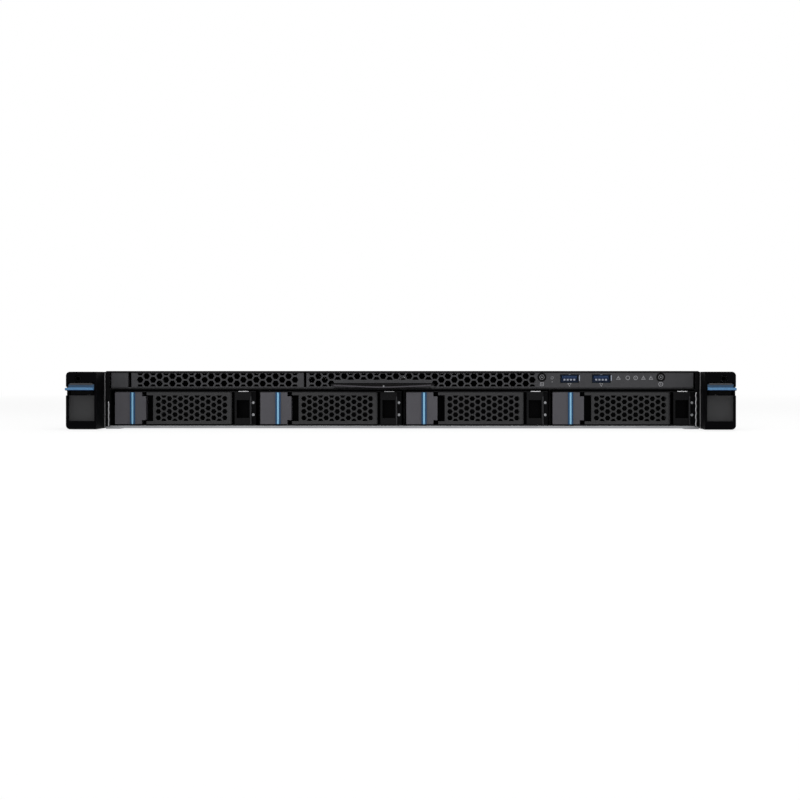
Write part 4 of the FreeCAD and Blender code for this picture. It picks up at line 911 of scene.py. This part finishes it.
# %% [markdown]
# ### Shade behind the lever's lip
# Under the lip the ear is open, so that a finger can push the lever. A black block rides on the lever as
# painted shade: it closes the view past its hook, so the opening under the lip stays dark. A cap above the
# lip continues the lever over its knuckle.

# %% Shades and caps on the levers
LEVER_X = (222.2, 238.6)
CAP_YZ = ((-27.75, 11.2), (-27.2, 12.5))
SHADE_YZ = ((-24.6, 4.1), (-24.0, 7.2))
lever_grey = moulding("lever_grey", tone(64, 65, 68))
for side, label in SIDES:
    edges = sorted(side * x for x in LEVER_X)
    for kind, corners, material in (("cap", CAP_YZ, lever_grey), ("shade", SHADE_YZ, black_rubber_and_shade)):
        block = [(x, y, ear_middle + up) for x, (y, up) in zip(edges, corners)]
        block_piece(f"lever_{kind}_{label}", [block], material, f"rack_latch_{label}")
print("shades made")

# %% [markdown]
# ## Trays
# Each tray has a release with a blue stripe down its middle, a light strip with two small light pipes at its
# right, and a spring at the top edge that keeps the tray from rattling. The stripe is a blue insert, drawn as
# a deep blue channel whose darker colour is painted shade on the stripe's rounded flanks, and a lighter,
# rounded core whose colour is a painted highlight. Stripe and core ride with the release.

# %% Blue stripe, light pipes and spring
STRIPE_X = -39.1
LENS_SPOT = (50.3, 1.85)
LENS_HEIGHTS = (10.4, 19.4)
TRAY_SPRING = ((39.4, 0.3, 27.35), (47.0, 3.4, 28.0))
for number in TRAYS:
    tray, release = f"drive_tray_{number}", f"tray_release_{number}"
    middle = middle_mm(tray).x
    low, high = box_mm(release)
    stripe = middle + STRIPE_X
    # Painted shade on the flanks and a painted highlight on the core of the stripe.
    block_piece(f"stripe_shaded_flanks_{number}", [((stripe - 1.9, -0.68, low.z - 0.04),
                                              (stripe + 1.9, 0.1, high.z + 0.04))],
                shaded_blue_flanks, release, 0.25)
    block_piece(f"stripe_lit_core_{number}", [((stripe - 0.68, -0.86, low.z + 0.1),
                                           (stripe + 0.68, -0.5, high.z - 0.1))],
                lit_blue_core, release, 0.2)
    lens = flat_mesh(f"tray_lens_{number}", 1.0, 0, 14, 0.4)
    add_row(f"tray_lights_{number}", lens, [(middle + LENS_SPOT[0], LENS_SPOT[1], z) for z in LENS_HEIGHTS],
            "front", light_pipe, tray)
    block_piece(f"tray_spring_{number}", [[(middle + x, y, z) for x, y, z in TRAY_SPRING]], plain_steel, tray,
                0.3)
print("tray 4 middle at", round(middle, 2))

# %% [markdown]
# ## Control area
# The right end of the panel has two buttons, two USB ports and a row of small signs. The signs here are plain
# shapes. A port is a dark steel shell round a coloured insulator: the insulator's back wall and its tongue
# fill the mouth, so the port reads as a dark blue rectangle, and a thin lighter strip along the tongue's
# front edge is a painted highlight.

# %% USB ports
USB_HALF = 6.6
usb_shell = brushed_metal("dark_port_shell", tone(16, 22, 32), tone(30, 38, 50), spangle=0.1, fineness=200.0)
nodes["usb_ports"].data.materials[0] = usb_shell
insulator_blue = moulding("insulator_blue", tone(22, 40, 70), rough=(0.35, 0.45), strength=0.1, edge_wear_and_highlight=1.25)
pale_contact = brushed_metal("pale_contact", tone(128, 134, 146), tone(160, 166, 178), spangle=0.0,
                             fineness=400.0)
low, high = box_mm("usb_ports")
usb_middles = (low.x + USB_HALF, high.x - USB_HALF)
insulators, tongue_highlights, contacts = [], [], []
for x in usb_middles:
    insulators += [((x - 6.15, 2.6, low.z + 0.45), (x + 6.15, 3.4, high.z - 0.45), 0.1),
                   ((x - 5.6, 0.9, high.z - 2.95), (x + 5.6, 3.4, high.z - 0.8), 0.2)]
    # Painted highlight: a thin lighter strip along the tongue's front edge.
    tongue_highlights.append(((x - 5.4, 0.75, high.z - 1.25), (x + 5.4, 0.95, high.z - 0.7)))
    for step in (-3.6, -1.2, 1.2, 3.6):
        contacts.append(((x + step - 0.75, 1.2, high.z - 4.3), (x + step + 0.75, 2.7, high.z - 2.9), 0.15))
    contacts += [((x + 7.0, -0.05, low.z + 1.4), (x + 7.7, 0.1, high.z - 0.6), 0.04),
                 ((x - 0.6, 0.3, high.z - 0.1), (x + 0.9, 0.6, high.z + 0.3), 0.05)]
block_piece("usb_insulators", insulators, insulator_blue)
block_piece("usb_tongue_highlights", tongue_highlights, tongue_blue, bevel=0.08)
block_piece("usb_contacts", contacts, pale_contact)
print("usb mouth from z", round(low.z, 2), "to", round(high.z, 2))

# %% [markdown]
# ### Signs
# The signs stand in two rows: the status signs level with the buttons, and the signs of the buttons and
# the ports below them. A sign is a stamped mark or two, scaled and turned in the panel's plane.

# %% Signs on the panel
UPPER_ROW, LOWER_ROW = 37.7, 33.1
power_x, marker_x = middle_mm("power_button").x, middle_mm("id_button").x
port_sign_x = 111.2
SIGNS = [(mark_triangle, 160.0, UPPER_ROW - 0.3, 1.15), (mark_ring, 166.9, UPPER_ROW, 1.15),
         (mark_ring, 172.7, UPPER_ROW, 1.15), (mark_triangle, 178.4, UPPER_ROW - 0.3, 1.15),
         (mark_triangle, 183.9, UPPER_ROW - 0.3, 1.15)]
SIGNS += [(mark_dot, x, UPPER_ROW, 0.7) for x in (160.0, 172.7, 178.4, 183.9)]
SIGNS += [(mark_ring, power_x, LOWER_ROW, 1.25), (mark_dot, power_x, LOWER_ROW, 0.9),
          (mark_square, marker_x, LOWER_ROW, 1.15, 45), (mark_dot, marker_x, LOWER_ROW, 0.8),
          (mark_ring, port_sign_x, UPPER_ROW, 0.75), (mark_dot, port_sign_x, LOWER_ROW + 1.6, 0.7)]
SIGNS += [(mark_triangle, x, LOWER_ROW - 0.2, 1.0, 180) for x in usb_middles]
shape = bmesh.new()
for mark, x, z, scale, *turn in SIGNS:
    stamp(shape, mark, Matrix.Translation(place(x, 0.02, z)) @ FACING["front"]
          @ Matrix.Rotation(math.radians(turn[0] if turn else 0), 4, "Z")
          @ Matrix.Diagonal((scale, scale, 1, 1)))
finish_piece("panel_signs", shape, print_grey)
print("stamped marks:", len(SIGNS))

# %% [markdown]
# ### Buttons
# A button is nearly black, with a thin rim and a small light in its middle. The rim is printed, the light is
# a lens that stands a tenth of a millimetre proud. A black ring round each button is painted shade in the gap
# between button and panel.

# %% Rims and lights of the buttons
for name in ("power_button", "id_button"):
    middle = middle_mm(name)
    spots = [(middle.x, box_mm(name)[0].y + 0.02, middle.z)]
    rim = flat_mesh(f"{name}_rim_mesh", 1.75, 1.5, 20, 0.06)
    add_row(f"{name}_rim", rim, spots, "front", print_grey, name)
    lens = turned_mesh(f"{name}_lens_mesh", [(0, 0.14), (0.35, 0.1), (0.5, -0.1)], 12)
    add_row(f"{name}_lens", lens, spots, "front", light_pipe, name, smooth=True)
# Painted shade: a black ring in the gap round each button.
gap_shade_ring = flat_mesh("button_gap_shade_mesh", 3.3, 2.6, 24, 0.1)
add_row("button_gap_shades", gap_shade_ring, [(x, 0.02, middle.z) for x in (power_x, marker_x)], "front", black_rubber_and_shade)
print("button collars at x", round(power_x, 1), round(marker_x, 1))

# %% [markdown]
# ## Rear
# From behind, the machine shows its power supplies on one side and a band of ports on the other. Each
# supply has a black handle, an inlet with three pins, an air grille and a terracotta latch, the colour
# that marks what may be pulled while the machine runs. The handle and the inlet are black mouldings on a
# zinc box, so each supply gets its own finish with those areas painted.

# %% Power supply finishes
SUPPLIES = (1, 2)
SUPPLY_BLACK = tone(12, 12, 13)
HANDLE_Y = (0.05, 40)
WELLS = (((-17, 0.02), (31.8, 64.2), (11.3, 32.2)),
         ((-14.2, -0.1), (64.8, 73), (11.8, 32.2)),
         ((-6.1, -0.1), (2.9, 30.5), (5.9, 37.1)))
rear_plane = in_mm(chassis_high).y
for number in SUPPLIES:
    paint = galvanised(f"supply_sheet_{number}")
    left = box_mm(f"power_supply_{number}")[0].x
    paint_region(paint, SUPPLY_BLACK, {"Y": [rear_plane + y for y in HANDLE_Y]}, metallic=0.0)
    for behind, across, up in WELLS:
        well = {"Y": [rear_plane + y for y in behind], "X": [left + x for x in across], "Z": up}
        paint_region(paint, SUPPLY_BLACK, well, metallic=0.0)
    nodes[f"power_supply_{number}"].data.materials[0] = paint
print("supply 2 starts at x", round(left, 2))

# %% [markdown]
# ### Inlets, lights and screws of the supplies
# The inlet's pins are bevelled nickel blades. A collar frames the inlet, as its flange does on the real
# part: a flat rectangle is inset, its middle taken away and the rim given a thickness, so the frame is one
# closed solid.

# %% A frame round an inlet
def rear_frame(low, high, rim, proud):
    """A flat rectangular frame on the rear plane, open in its middle."""
    shape = bmesh.new()
    bmesh.ops.create_grid(shape, x_segments=1, y_segments=1, size=0.5)
    size = ((high[0] - low[0]) * MM, (high[1] - low[1]) * MM, 1)
    bmesh.ops.scale(shape, vec=size, verts=shape.verts)
    open_middle(shape, shape.faces[:][0], rim)
    thicken(shape, proud)
    middle = place((low[0] + high[0]) / 2, rear_plane, (low[1] + high[1]) / 2)
    bmesh.ops.transform(shape, matrix=Matrix.Translation(middle) @ FACING["rear"], verts=shape.verts)
    return shape


print("rear plane", round(rear_plane, 2), "mm behind the front")

# %% [markdown]
# ### Details of a supply
# The two supplies are alike, so one loop dresses both, each from its own left side. Ribs on the handle and
# on the latch give a finger its hold.

# %% Details on each supply
PINS = ((41, 20), (55, 20), (48, 25))
PIN_HALF = (1.06, 2.06)
supply_screw = screw_mesh("supply_screw", 2.2, 0.7)
for number in SUPPLIES:
    body = f"power_supply_{number}"
    left = box_mm(body)[0].x
    inlet_frame = rear_frame((left + 31.4, 10.9), (left + 64.6, 32.6), 1.3, 0.6)
    finish_piece(f"inlet_frame_{number}", inlet_frame, finishes["black_plastic"], body)
    pins = [((left + x - PIN_HALF[0], rear_plane - 15.9, z - PIN_HALF[1]),
             (left + x + PIN_HALF[0], rear_plane - 5.6, z + PIN_HALF[1])) for x, z in PINS]
    block_piece(f"inlet_pins_{number}", pins, finishes["port_metal"], body, 0.4)
    spots = [(left + x, rear_plane, z) for x, z in ((69, 37), (69, 6.5), (34.5, 38))]
    add_row(f"supply_screws_{number}", supply_screw, spots, "rear", plain_steel, body)
    lens = turned_mesh(f"supply_lens_mesh_{number}", [(0, 0.5), (0.9, 0.4), (1.2, 0.0)], 16)
    add_row(f"supply_light_{number}", lens, [(left + 60.5, rear_plane, 36.5)], "rear", green_pipe, body,
            smooth=True)
    ribs = [((left + 11.4, rear_plane + 23.4, 14 + step * 2.6),
             (left + 18.6, rear_plane + 24.0, 14.9 + step * 2.6)) for step in range(7)]
    block_piece(f"handle_ribs_{number}", ribs, black_rubber_and_shade, body)
    ribs = [((left + 67.5, rear_plane + 11.6, 15.5 + step * 2.8),
             (left + 70.3, rear_plane + 12.35, 16.6 + step * 2.8)) for step in range(5)]
    block_piece(f"latch_ribs_{number}", ribs, finishes["touch_plastic"], f"supply_latch_{number}",
                0.15)
print("supplies dressed:", len(SUPPLIES))

# %% [markdown]
# ### Ports
# A network port is a metal box with eight gold wires under its roof and two light pipes in its corners. A
# port stack has two blue tongues, one above the other, with four contacts under each.

# %% Network ports and port stacks
SOCKET_HEIGHT = 3
JACKS = ((-92, -75.6), (-72, -55.6), (-22, -5.6))
STACKS = ((-52, -38.4), (-1, 12.6))
WIRE_PITCH = 1.02
LENS_WIDTH = 3.1
board_top = box_mm("processor")[0].z - SOCKET_HEIGHT
face_y = rear_plane - 1
wires, green_lenses, amber_lenses = [], [], []
for left, right in JACKS:
    middle = (left + right) / 2
    for wire in range(8):
        x = middle + (wire - 3.5) * WIRE_PITCH
        wires.append(((x - 0.25, face_y - 13.5, board_top + 11.0),
                      (x + 0.25, face_y - 3, board_top + 11.5), 0.08))
    wires.append(((middle - 4.4, face_y - 13.9, board_top + 2.7),
                  (middle + 4.4, face_y - 13.4, board_top + 11.5), 0.05))
    for lenses, x in ((green_lenses, left + 0.9), (amber_lenses, right - 0.9 - LENS_WIDTH)):
        lenses.append(((x, face_y - 2, board_top + 11.9), (x + LENS_WIDTH, face_y + 0.25, board_top + 13.5)))
block_piece("jack_wires", wires, gold_contact)
block_piece("jack_lenses_green", green_lenses, green_pipe, bevel=0.15)
block_piece("jack_lenses_amber", amber_lenses, amber_pipe, bevel=0.15)
tongues, contacts = [], []
for left, right in STACKS:
    for floor_z in (board_top, board_top + 7.4):
        base = floor_z + 3.95
        tongues.append(((left + 1.9, face_y - 16, base), (right - 1.9, face_y - 0.85, base + 1.7), 0.15))
        tongues.append(((left + 1.1, face_y - 16, floor_z + 1.5),
                        (right - 1.1, face_y - 15.2, floor_z + 6.7), 0.1))
        for step in (-1.5, -0.5, 0.5, 1.5):
            x = (left + right) / 2 + step * 2.1
            contacts.append(((x - 0.5, face_y - 13, base - 0.12), (x + 0.5, face_y - 1.6, base)))
block_piece("stack_tongues", tongues, tongue_blue)
block_piece("stack_contacts", contacts, gold_contact, bevel=0.04)
print("network ports", len(JACKS), "port stacks", len(STACKS))

# %% [markdown]
# ### The shell of a wide port
# A wide port stands in a raised D-shaped shell, so that a plug goes in one way only. The shell is a block
# whose lower side is drawn in, and whose corners are rounded along its depth.

# %% A D-shaped shell
SHELL_TAPER = 0.84
SHELL_ROUND = 1.1


def d_shell(shape, x, z, width, height, y, proud):
    """A raised shell, narrower at its bottom, with rounded corners."""
    made = bmesh.ops.create_cube(shape, size=1.0)["verts"]
    bmesh.ops.scale(shape, vec=(width * MM, proud * MM, height * MM), verts=made)
    lower = [vert for vert in made if vert.co.z < 0]
    bmesh.ops.scale(shape, vec=(SHELL_TAPER, 1, 1), verts=lower)
    bmesh.ops.translate(shape, vec=place(x, y + proud / 2, z), verts=made)
    corners = [edge for edge in {edge for vert in made for edge in vert.link_edges}
               if abs(edge.verts[0].co.y - edge.verts[1].co.y) > 0.5 * proud * MM]
    round_off(shape, corners, SHELL_ROUND, 4)


print("shell narrows to", SHELL_TAPER)

# %% [markdown]
# ### Wide ports
# The two wide ports have a blue core in the shell and a hexagonal nut at each side. The first has three rows
# of holes, drawn as flat black discs of painted shade, the second two rows of pins.

# %% Wide ports with nuts
SCREENS = ((18, 36), (40, 58))
PIN_PITCH = 2.2
HOLE_ROWS = ((2.0, 5, 0.0), (0.0, 5, 0.2), (-2.0, 5, 0.0))
PIN_ROWS = ((1.2, 5, 0.0), (-1.2, 4, 0.0))
nut = turned_mesh("nut", [(0.9, 0.0), (0.9, 1.9), (1.2, 2.0), (1.9, 2.0), (2.3, 1.6), (2.3, 0.0)], 6)
# Painted shade: each hole is a flat black disc on the core.
pin_socket = flat_mesh("pin_socket", 0.42, 0, 10, 0.12)
pin = turned_mesh("pin", [(0, 1.2), (0.25, 1.1), (0.4, 0.8), (0.4, 0.0)], 10)
shells, cores, holes, pins, nuts = (bmesh.new() for kind in range(5))
for (left, right), left_nut, target, mesh, rows in (
        (SCREENS[0], -1.9, holes, pin_socket, HOLE_ROWS), (SCREENS[1], -0.6, pins, pin, PIN_ROWS)):
    middle, z = (left + right) / 2, board_top + 6.2
    d_shell(shells, middle, z, 15.4, 7.6, face_y - 0.1, 0.85)
    d_shell(cores, middle, z, 13.9, 6.3, face_y + 0.3, 0.55)
    for up, count, offset in rows:
        for step in range(count):
            x = middle + (step - (count - 1) / 2 + offset) * PIN_PITCH
            stamp(target, mesh, Matrix.Translation(place(x, face_y + 0.82, z + up)) @ FACING["rear"])
    for x in (left + left_nut, right + 1.0):
        stamp(nuts, nut, Matrix.Translation(place(x, face_y + 0.9, z)) @ FACING["rear"])
finish_piece("wide_port_shells", shells, finishes["port_metal"])
finish_piece("wide_port_cores", cores, tongue_blue)
finish_piece("wide_port_holes", holes, black_rubber_and_shade)
finish_piece("wide_port_pins", pins, gold_contact)
finish_piece("wide_port_nuts", nuts, finishes["port_metal"])
print("wide ports", len(SCREENS))

# %% [markdown]
# ### Screws on the rear panel and rivets in the walls
# Screws hold the panel, the card bracket and its covers. Rivets hold the walls and the ear brackets. Both
# are stamped in rows from the shared meshes.

# %% Rows of screws and rivets
WALL_X = 219.0
EAR_BRACKET_X = 220.3
RIVET_ROWS = (95, 190, 300, 420, 500, 640)
RIVET_HEIGHTS = (5.5, 37)
EAR_RIVETS = ((12, 8), (12, 35), (42, 12), (42, 31), (66, 21.4))
low, high = box_mm("rear_panel")
spots = [(low.x + 5, rear_plane, 39.6), (low.x + 5, rear_plane, 6.5), (-98, rear_plane, 36),
         (high.x - 4.5, rear_plane, 26), (-98, rear_plane, 8)]
add_row("rear_screws", screw_small, spots, "rear", plain_steel)
spots = [(x, box_mm("riser_bracket")[1].y, 24.6) for x in (-200, -157, -112)]
add_row("bracket_screws", screw_small, spots, "rear", plain_steel)
for side, label in SIDES:
    spots = [(side * WALL_X, y, z) for y in RIVET_ROWS for z in RIVET_HEIGHTS]
    add_row(f"side_rivets_{label}", rivet, spots, label, finishes["zinc_steel"],
            smooth=True)
    spots = [(side * EAR_BRACKET_X, y, z) for y, z in EAR_RIVETS]
    add_row(f"ear_rivets_{label}", rivet, spots, label, black_screw, smooth=True)
print("rivet rows made")

# %% [markdown]
# ## Top
# The cover slides back when its lever is lifted. Two thumb pads are glued into the pressed recesses, and a
# turn lock in the lever has a slot for a screwdriver, drawn as a black bar of painted shade. All of them stay
# below the cover's face, because the next machine in the rack sits only a few tenths of a millimetre above
# it.

# %% Thumb pads, turn lock and ribs of the lever
PAD_X = (91, 149)
PAD_RIBS = 14
LOCK = [(0, 1.2), (5.2, 1.2), (5.8, 0.9), (6.2, 0.0), (6.2, -0.3), (0, -0.3)]
LOCK_Z = 40.6
low, high = box_mm("top_cover")
pads = []
for side, label in SIDES:
    start, end = sorted(side * x for x in PAD_X)
    pads.append(((start, low.y + 24.7, high.z - 0.34), (end, low.y + 36.7, high.z - 0.2)))
    for rib in range(PAD_RIBS):
        x = start + 2 + rib * 4
        pads.append(((x, low.y + 26, high.z - 0.25), (x + 1.6, low.y + 35.4, high.z - 0.04)))
block_piece("thumb_pads", pads, black_rubber_and_shade, "top_cover", 0.05)
low, high = box_mm("cover_latch")
lock_x, lock_y = (low.x + high.x) / 2, low.y + 14
add_row("turn_lock", turned_mesh("turn_lock_mesh", LOCK, 32), [(lock_x, lock_y, LOCK_Z)], "up", plain_steel,
        "cover_latch")
# Painted shade: the slot is a black bar on the lock's top.
block_piece("turn_lock_slot", [((lock_x - 4.4, lock_y - 0.7, LOCK_Z + 1.0),
                                (lock_x + 4.4, lock_y + 0.7, LOCK_Z + 1.26))],
            black_rubber_and_shade, "cover_latch")
ribs = [((low.x + 4, low.y + 34 + step * 3.2, high.z - 0.15),
         (high.x - 4, low.y + 35.2 + step * 3.2, high.z + 0.2)) for step in range(6)]
block_piece("lever_ribs", ribs, finishes["touch_plastic"], "cover_latch", 0.12)
print("turn lock at", round(lock_x, 1), round(lock_y, 1))

# %% [markdown]
# ## Inside
# A board is one solid with its sockets, so its finish is painted by height: green up to the board's face,
# and near black above it. The card on the riser bracket is painted the same way, on zinc.

# %% Board finish areas
BACKPLANE_SHEET = 1.7
board_areas = {"motherboard": {"Z": (board_top + 0.12, 40)},
               "drive_backplane": {"Y": (0, box_mm("drive_backplane")[1].y - BACKPLANE_SHEET)}}
for node, area in board_areas.items():
    paint = board_paint.copy()
    paint.name = f"{node}_paint"
    paint_region(paint, tone(18, 18, 20), area)
    nodes[node].data.materials[0] = paint
riser_paint = finishes["zinc_steel"].copy()
riser_paint.name = "riser_paint"
card = {"Z": (23.9, 25.7), "X": (-206.5, -106.1), "Y": (0, rear_plane - 2.2)}
card_chip = {"Z": (25.7, 31.2), "X": (-170.5, -139.5), "Y": (0, rear_plane - 60)}
paint_region(riser_paint, tone(16, 62, 38), card, metallic=0.0)
paint_region(riser_paint, tone(24, 24, 26), card_chip, metallic=0.0)
nodes["riser_bracket"].data.materials[0] = riser_paint
print("painted boards:", ", ".join(board_areas))

# %% [markdown]
# ### Memory
# A memory module has nine chips on each face, with a wider gap near the middle for its notch, and a white
# latch at each end of its socket. The chips are plain unbevelled blocks, because there are ninety of them.

# %% Memory chips and their latches
MEMORY_X = (-176, -158, -140, 20, 38)
LATCHES_Y = (266, 414.2)
FIRST_CHIP_Y = 284
CHIP_X = (0.55, 1.7)
CHIP_LENGTH = 9.5
CHIP_PITCH = 13.6
NOTCH_GAP = 6
chips, latches = [], []
for middle in MEMORY_X:
    for side, label in SIDES:
        start, end = sorted(middle + side * x for x in CHIP_X)
        for chip in range(9):
            y = FIRST_CHIP_Y + chip * CHIP_PITCH + (NOTCH_GAP if chip > 4 else 0)
            chips.append(((start, y, board_top + 14), (end, y + CHIP_LENGTH, board_top + 25.5)))
    for y in LATCHES_Y:
        latches.append(((middle - 3, y, board_top), (middle + 3, y + 5.6, board_top + 16)))
block_piece("memory_chips", chips, finishes["duct_plastic"], bevel=0)
block_piece("memory_latches", latches, white_moulding, bevel=0.8)
print("memory modules", len(MEMORY_X))

# %% [markdown]
# ### Small parts of the board
# Chokes, capacitors and chips give a board its texture when the drives, the supplies or the cover move,
# and when the board is used on its own. Each kind is one piece: blocks in a grid, or copies of a turned
# can. The button cell sits in a round holder.

# %% Chokes, capacitors, chips and the button cell
CAN = [(0, 8.6), (2.5, 8.6), (3.0, 8.2), (3.0, 0.8), (2.7, 0.5), (3.0, 0.0)]
CELL = [(0, 4.0), (9.2, 4.0), (10.0, 3.4), (10.0, 1.0), (9.0, 0.4), (0, 0.4)]
HOLDER = [(0, 1.1), (11.4, 1.1), (11.8, 0.7), (11.8, 0.0), (0, 0)]
CELL_SPOT = (-68, 560)
LARGE_CHIPS = ((-60, 500), (50, 520), (-20, 600))
chokes, chips = [], []
for y in range(304, 395, 13):
    chokes += [((-131, y, board_top), (-122, y + 9, board_top + 6), 0.6),
               ((-128.5, y - 0.8, board_top), (-124.5, y + 9.8, board_top + 3), 0.3)]
for column in range(8):
    for row in range(5):
        x, y = -110 + column * 20, 536 + row * 17
        width, length = 3.2 + (column % 3) * 2, 2 + (row % 2) * 2.4
        chips.append(((x, y, board_top - 0.1), (x + width, y + length, board_top + 1), 0))
for x, y in LARGE_CHIPS:
    chips.append(((x, y, board_top - 0.1), (x + 12, y + 12, board_top + 1.6), 0.2))
spots = [(x, y, board_top) for x in (2, 10) for y in range(290, 410, 12)]
spots += [(x, 486, board_top) for x in range(-80, -44, 9)]
add_row("capacitors", turned_mesh("can", CAN), spots, "up", finishes["drive_metal"])
block_piece("chokes", chokes, finishes["duct_plastic"])
block_piece("board_chips", chips, finishes["duct_plastic"])
add_row("board_cell", turned_mesh("cell_mesh", CELL, 32), [(*CELL_SPOT, board_top + 0.6)], "up", plain_steel)
add_row("cell_holder", turned_mesh("cell_holder_mesh", HOLDER, 32), [(*CELL_SPOT, board_top)], "up",
        black_rubber_and_shade)
print("capacitors", len(spots))

# %% [markdown]
# ### Fans
# A rotor's hub gets a domed cap, which turns with it.

# %% Rotor caps
FANS = range(1, 6)
cap = turned_mesh("rotor_cap", [(0, 1.1), (5.5, 1.0), (7.5, 0.6), (8.2, 0.0)], 28)
for number in FANS:
    middle = middle_mm(f"fan_rotor_{number}")
    hub_y = box_mm(f"fan_rotor_{number}")[0].y
    add_row(f"rotor_cap_{number}", cap, [(middle.x, hub_y + 0.02, middle.z)], "front",
            finishes["duct_plastic"], f"fan_rotor_{number}", smooth=True)
print("rotor caps", len(FANS))

# %% [markdown]
# ### Drives
# Each drive has screws in its lid, a round cover over its spindle and a foil seal, and its tray has screws
# in the rails. They ride with the tray.

# %% Lid screws, foils and rail screws
LID_SCREWS_Y = (24, 88, 152)
RAIL_SCREWS_Y = (38, 94, 150)
RAIL_SCREW = [(0, 0.14), (1.6, 0.14), (1.9, 0.0), (1.9, -1)]
dark_foil = brushed_metal("dark_foil", tone(74, 75, 78), tone(92, 93, 96), rough=(0.5, 0.6), metallic=0.6,
                          spangle=0.0, fineness=200.0)
spindle = turned_mesh("spindle_cover", [(0, 0.1), (11, 0.1), (12, 0.06), (12.4, -0.4)], 36)
for number in TRAYS:
    body = f"drive_tray_{number}"
    low, high = box_mm(f"hard_drive_{number}")
    middle = (low.x + high.x) / 2
    inset = (high.x - low.x) / 2 - 2
    spots = [(middle + side * inset, y, high.z - 1.2) for side, label in SIDES for y in LID_SCREWS_Y]
    add_row(f"lid_screws_{number}", screw_small, spots, "up", plain_steel, body)
    shape = bmesh.new()
    stamp(shape, spindle, Matrix.Translation(place(middle, 66, high.z)))
    add_block(shape, (middle - 30, 96, high.z - 0.2), (middle + 30, 142, high.z + 0.06), 0.02)
    finish_piece(f"drive_foil_{number}", shape, dark_foil, body)
    tray_low, tray_high = box_mm(body)
    for edge, label in ((tray_low.x, "left"), (tray_high.x, "right")):
        rail_screw = turned_mesh(f"rail_screw_{number}_{label}", RAIL_SCREW, 14)
        add_row(f"rail_screws_{number}_{label}", rail_screw, [(edge, y, 12) for y in RAIL_SCREWS_Y], label,
                plain_steel, body)
print("lid screws on", len(TRAYS), "drives")
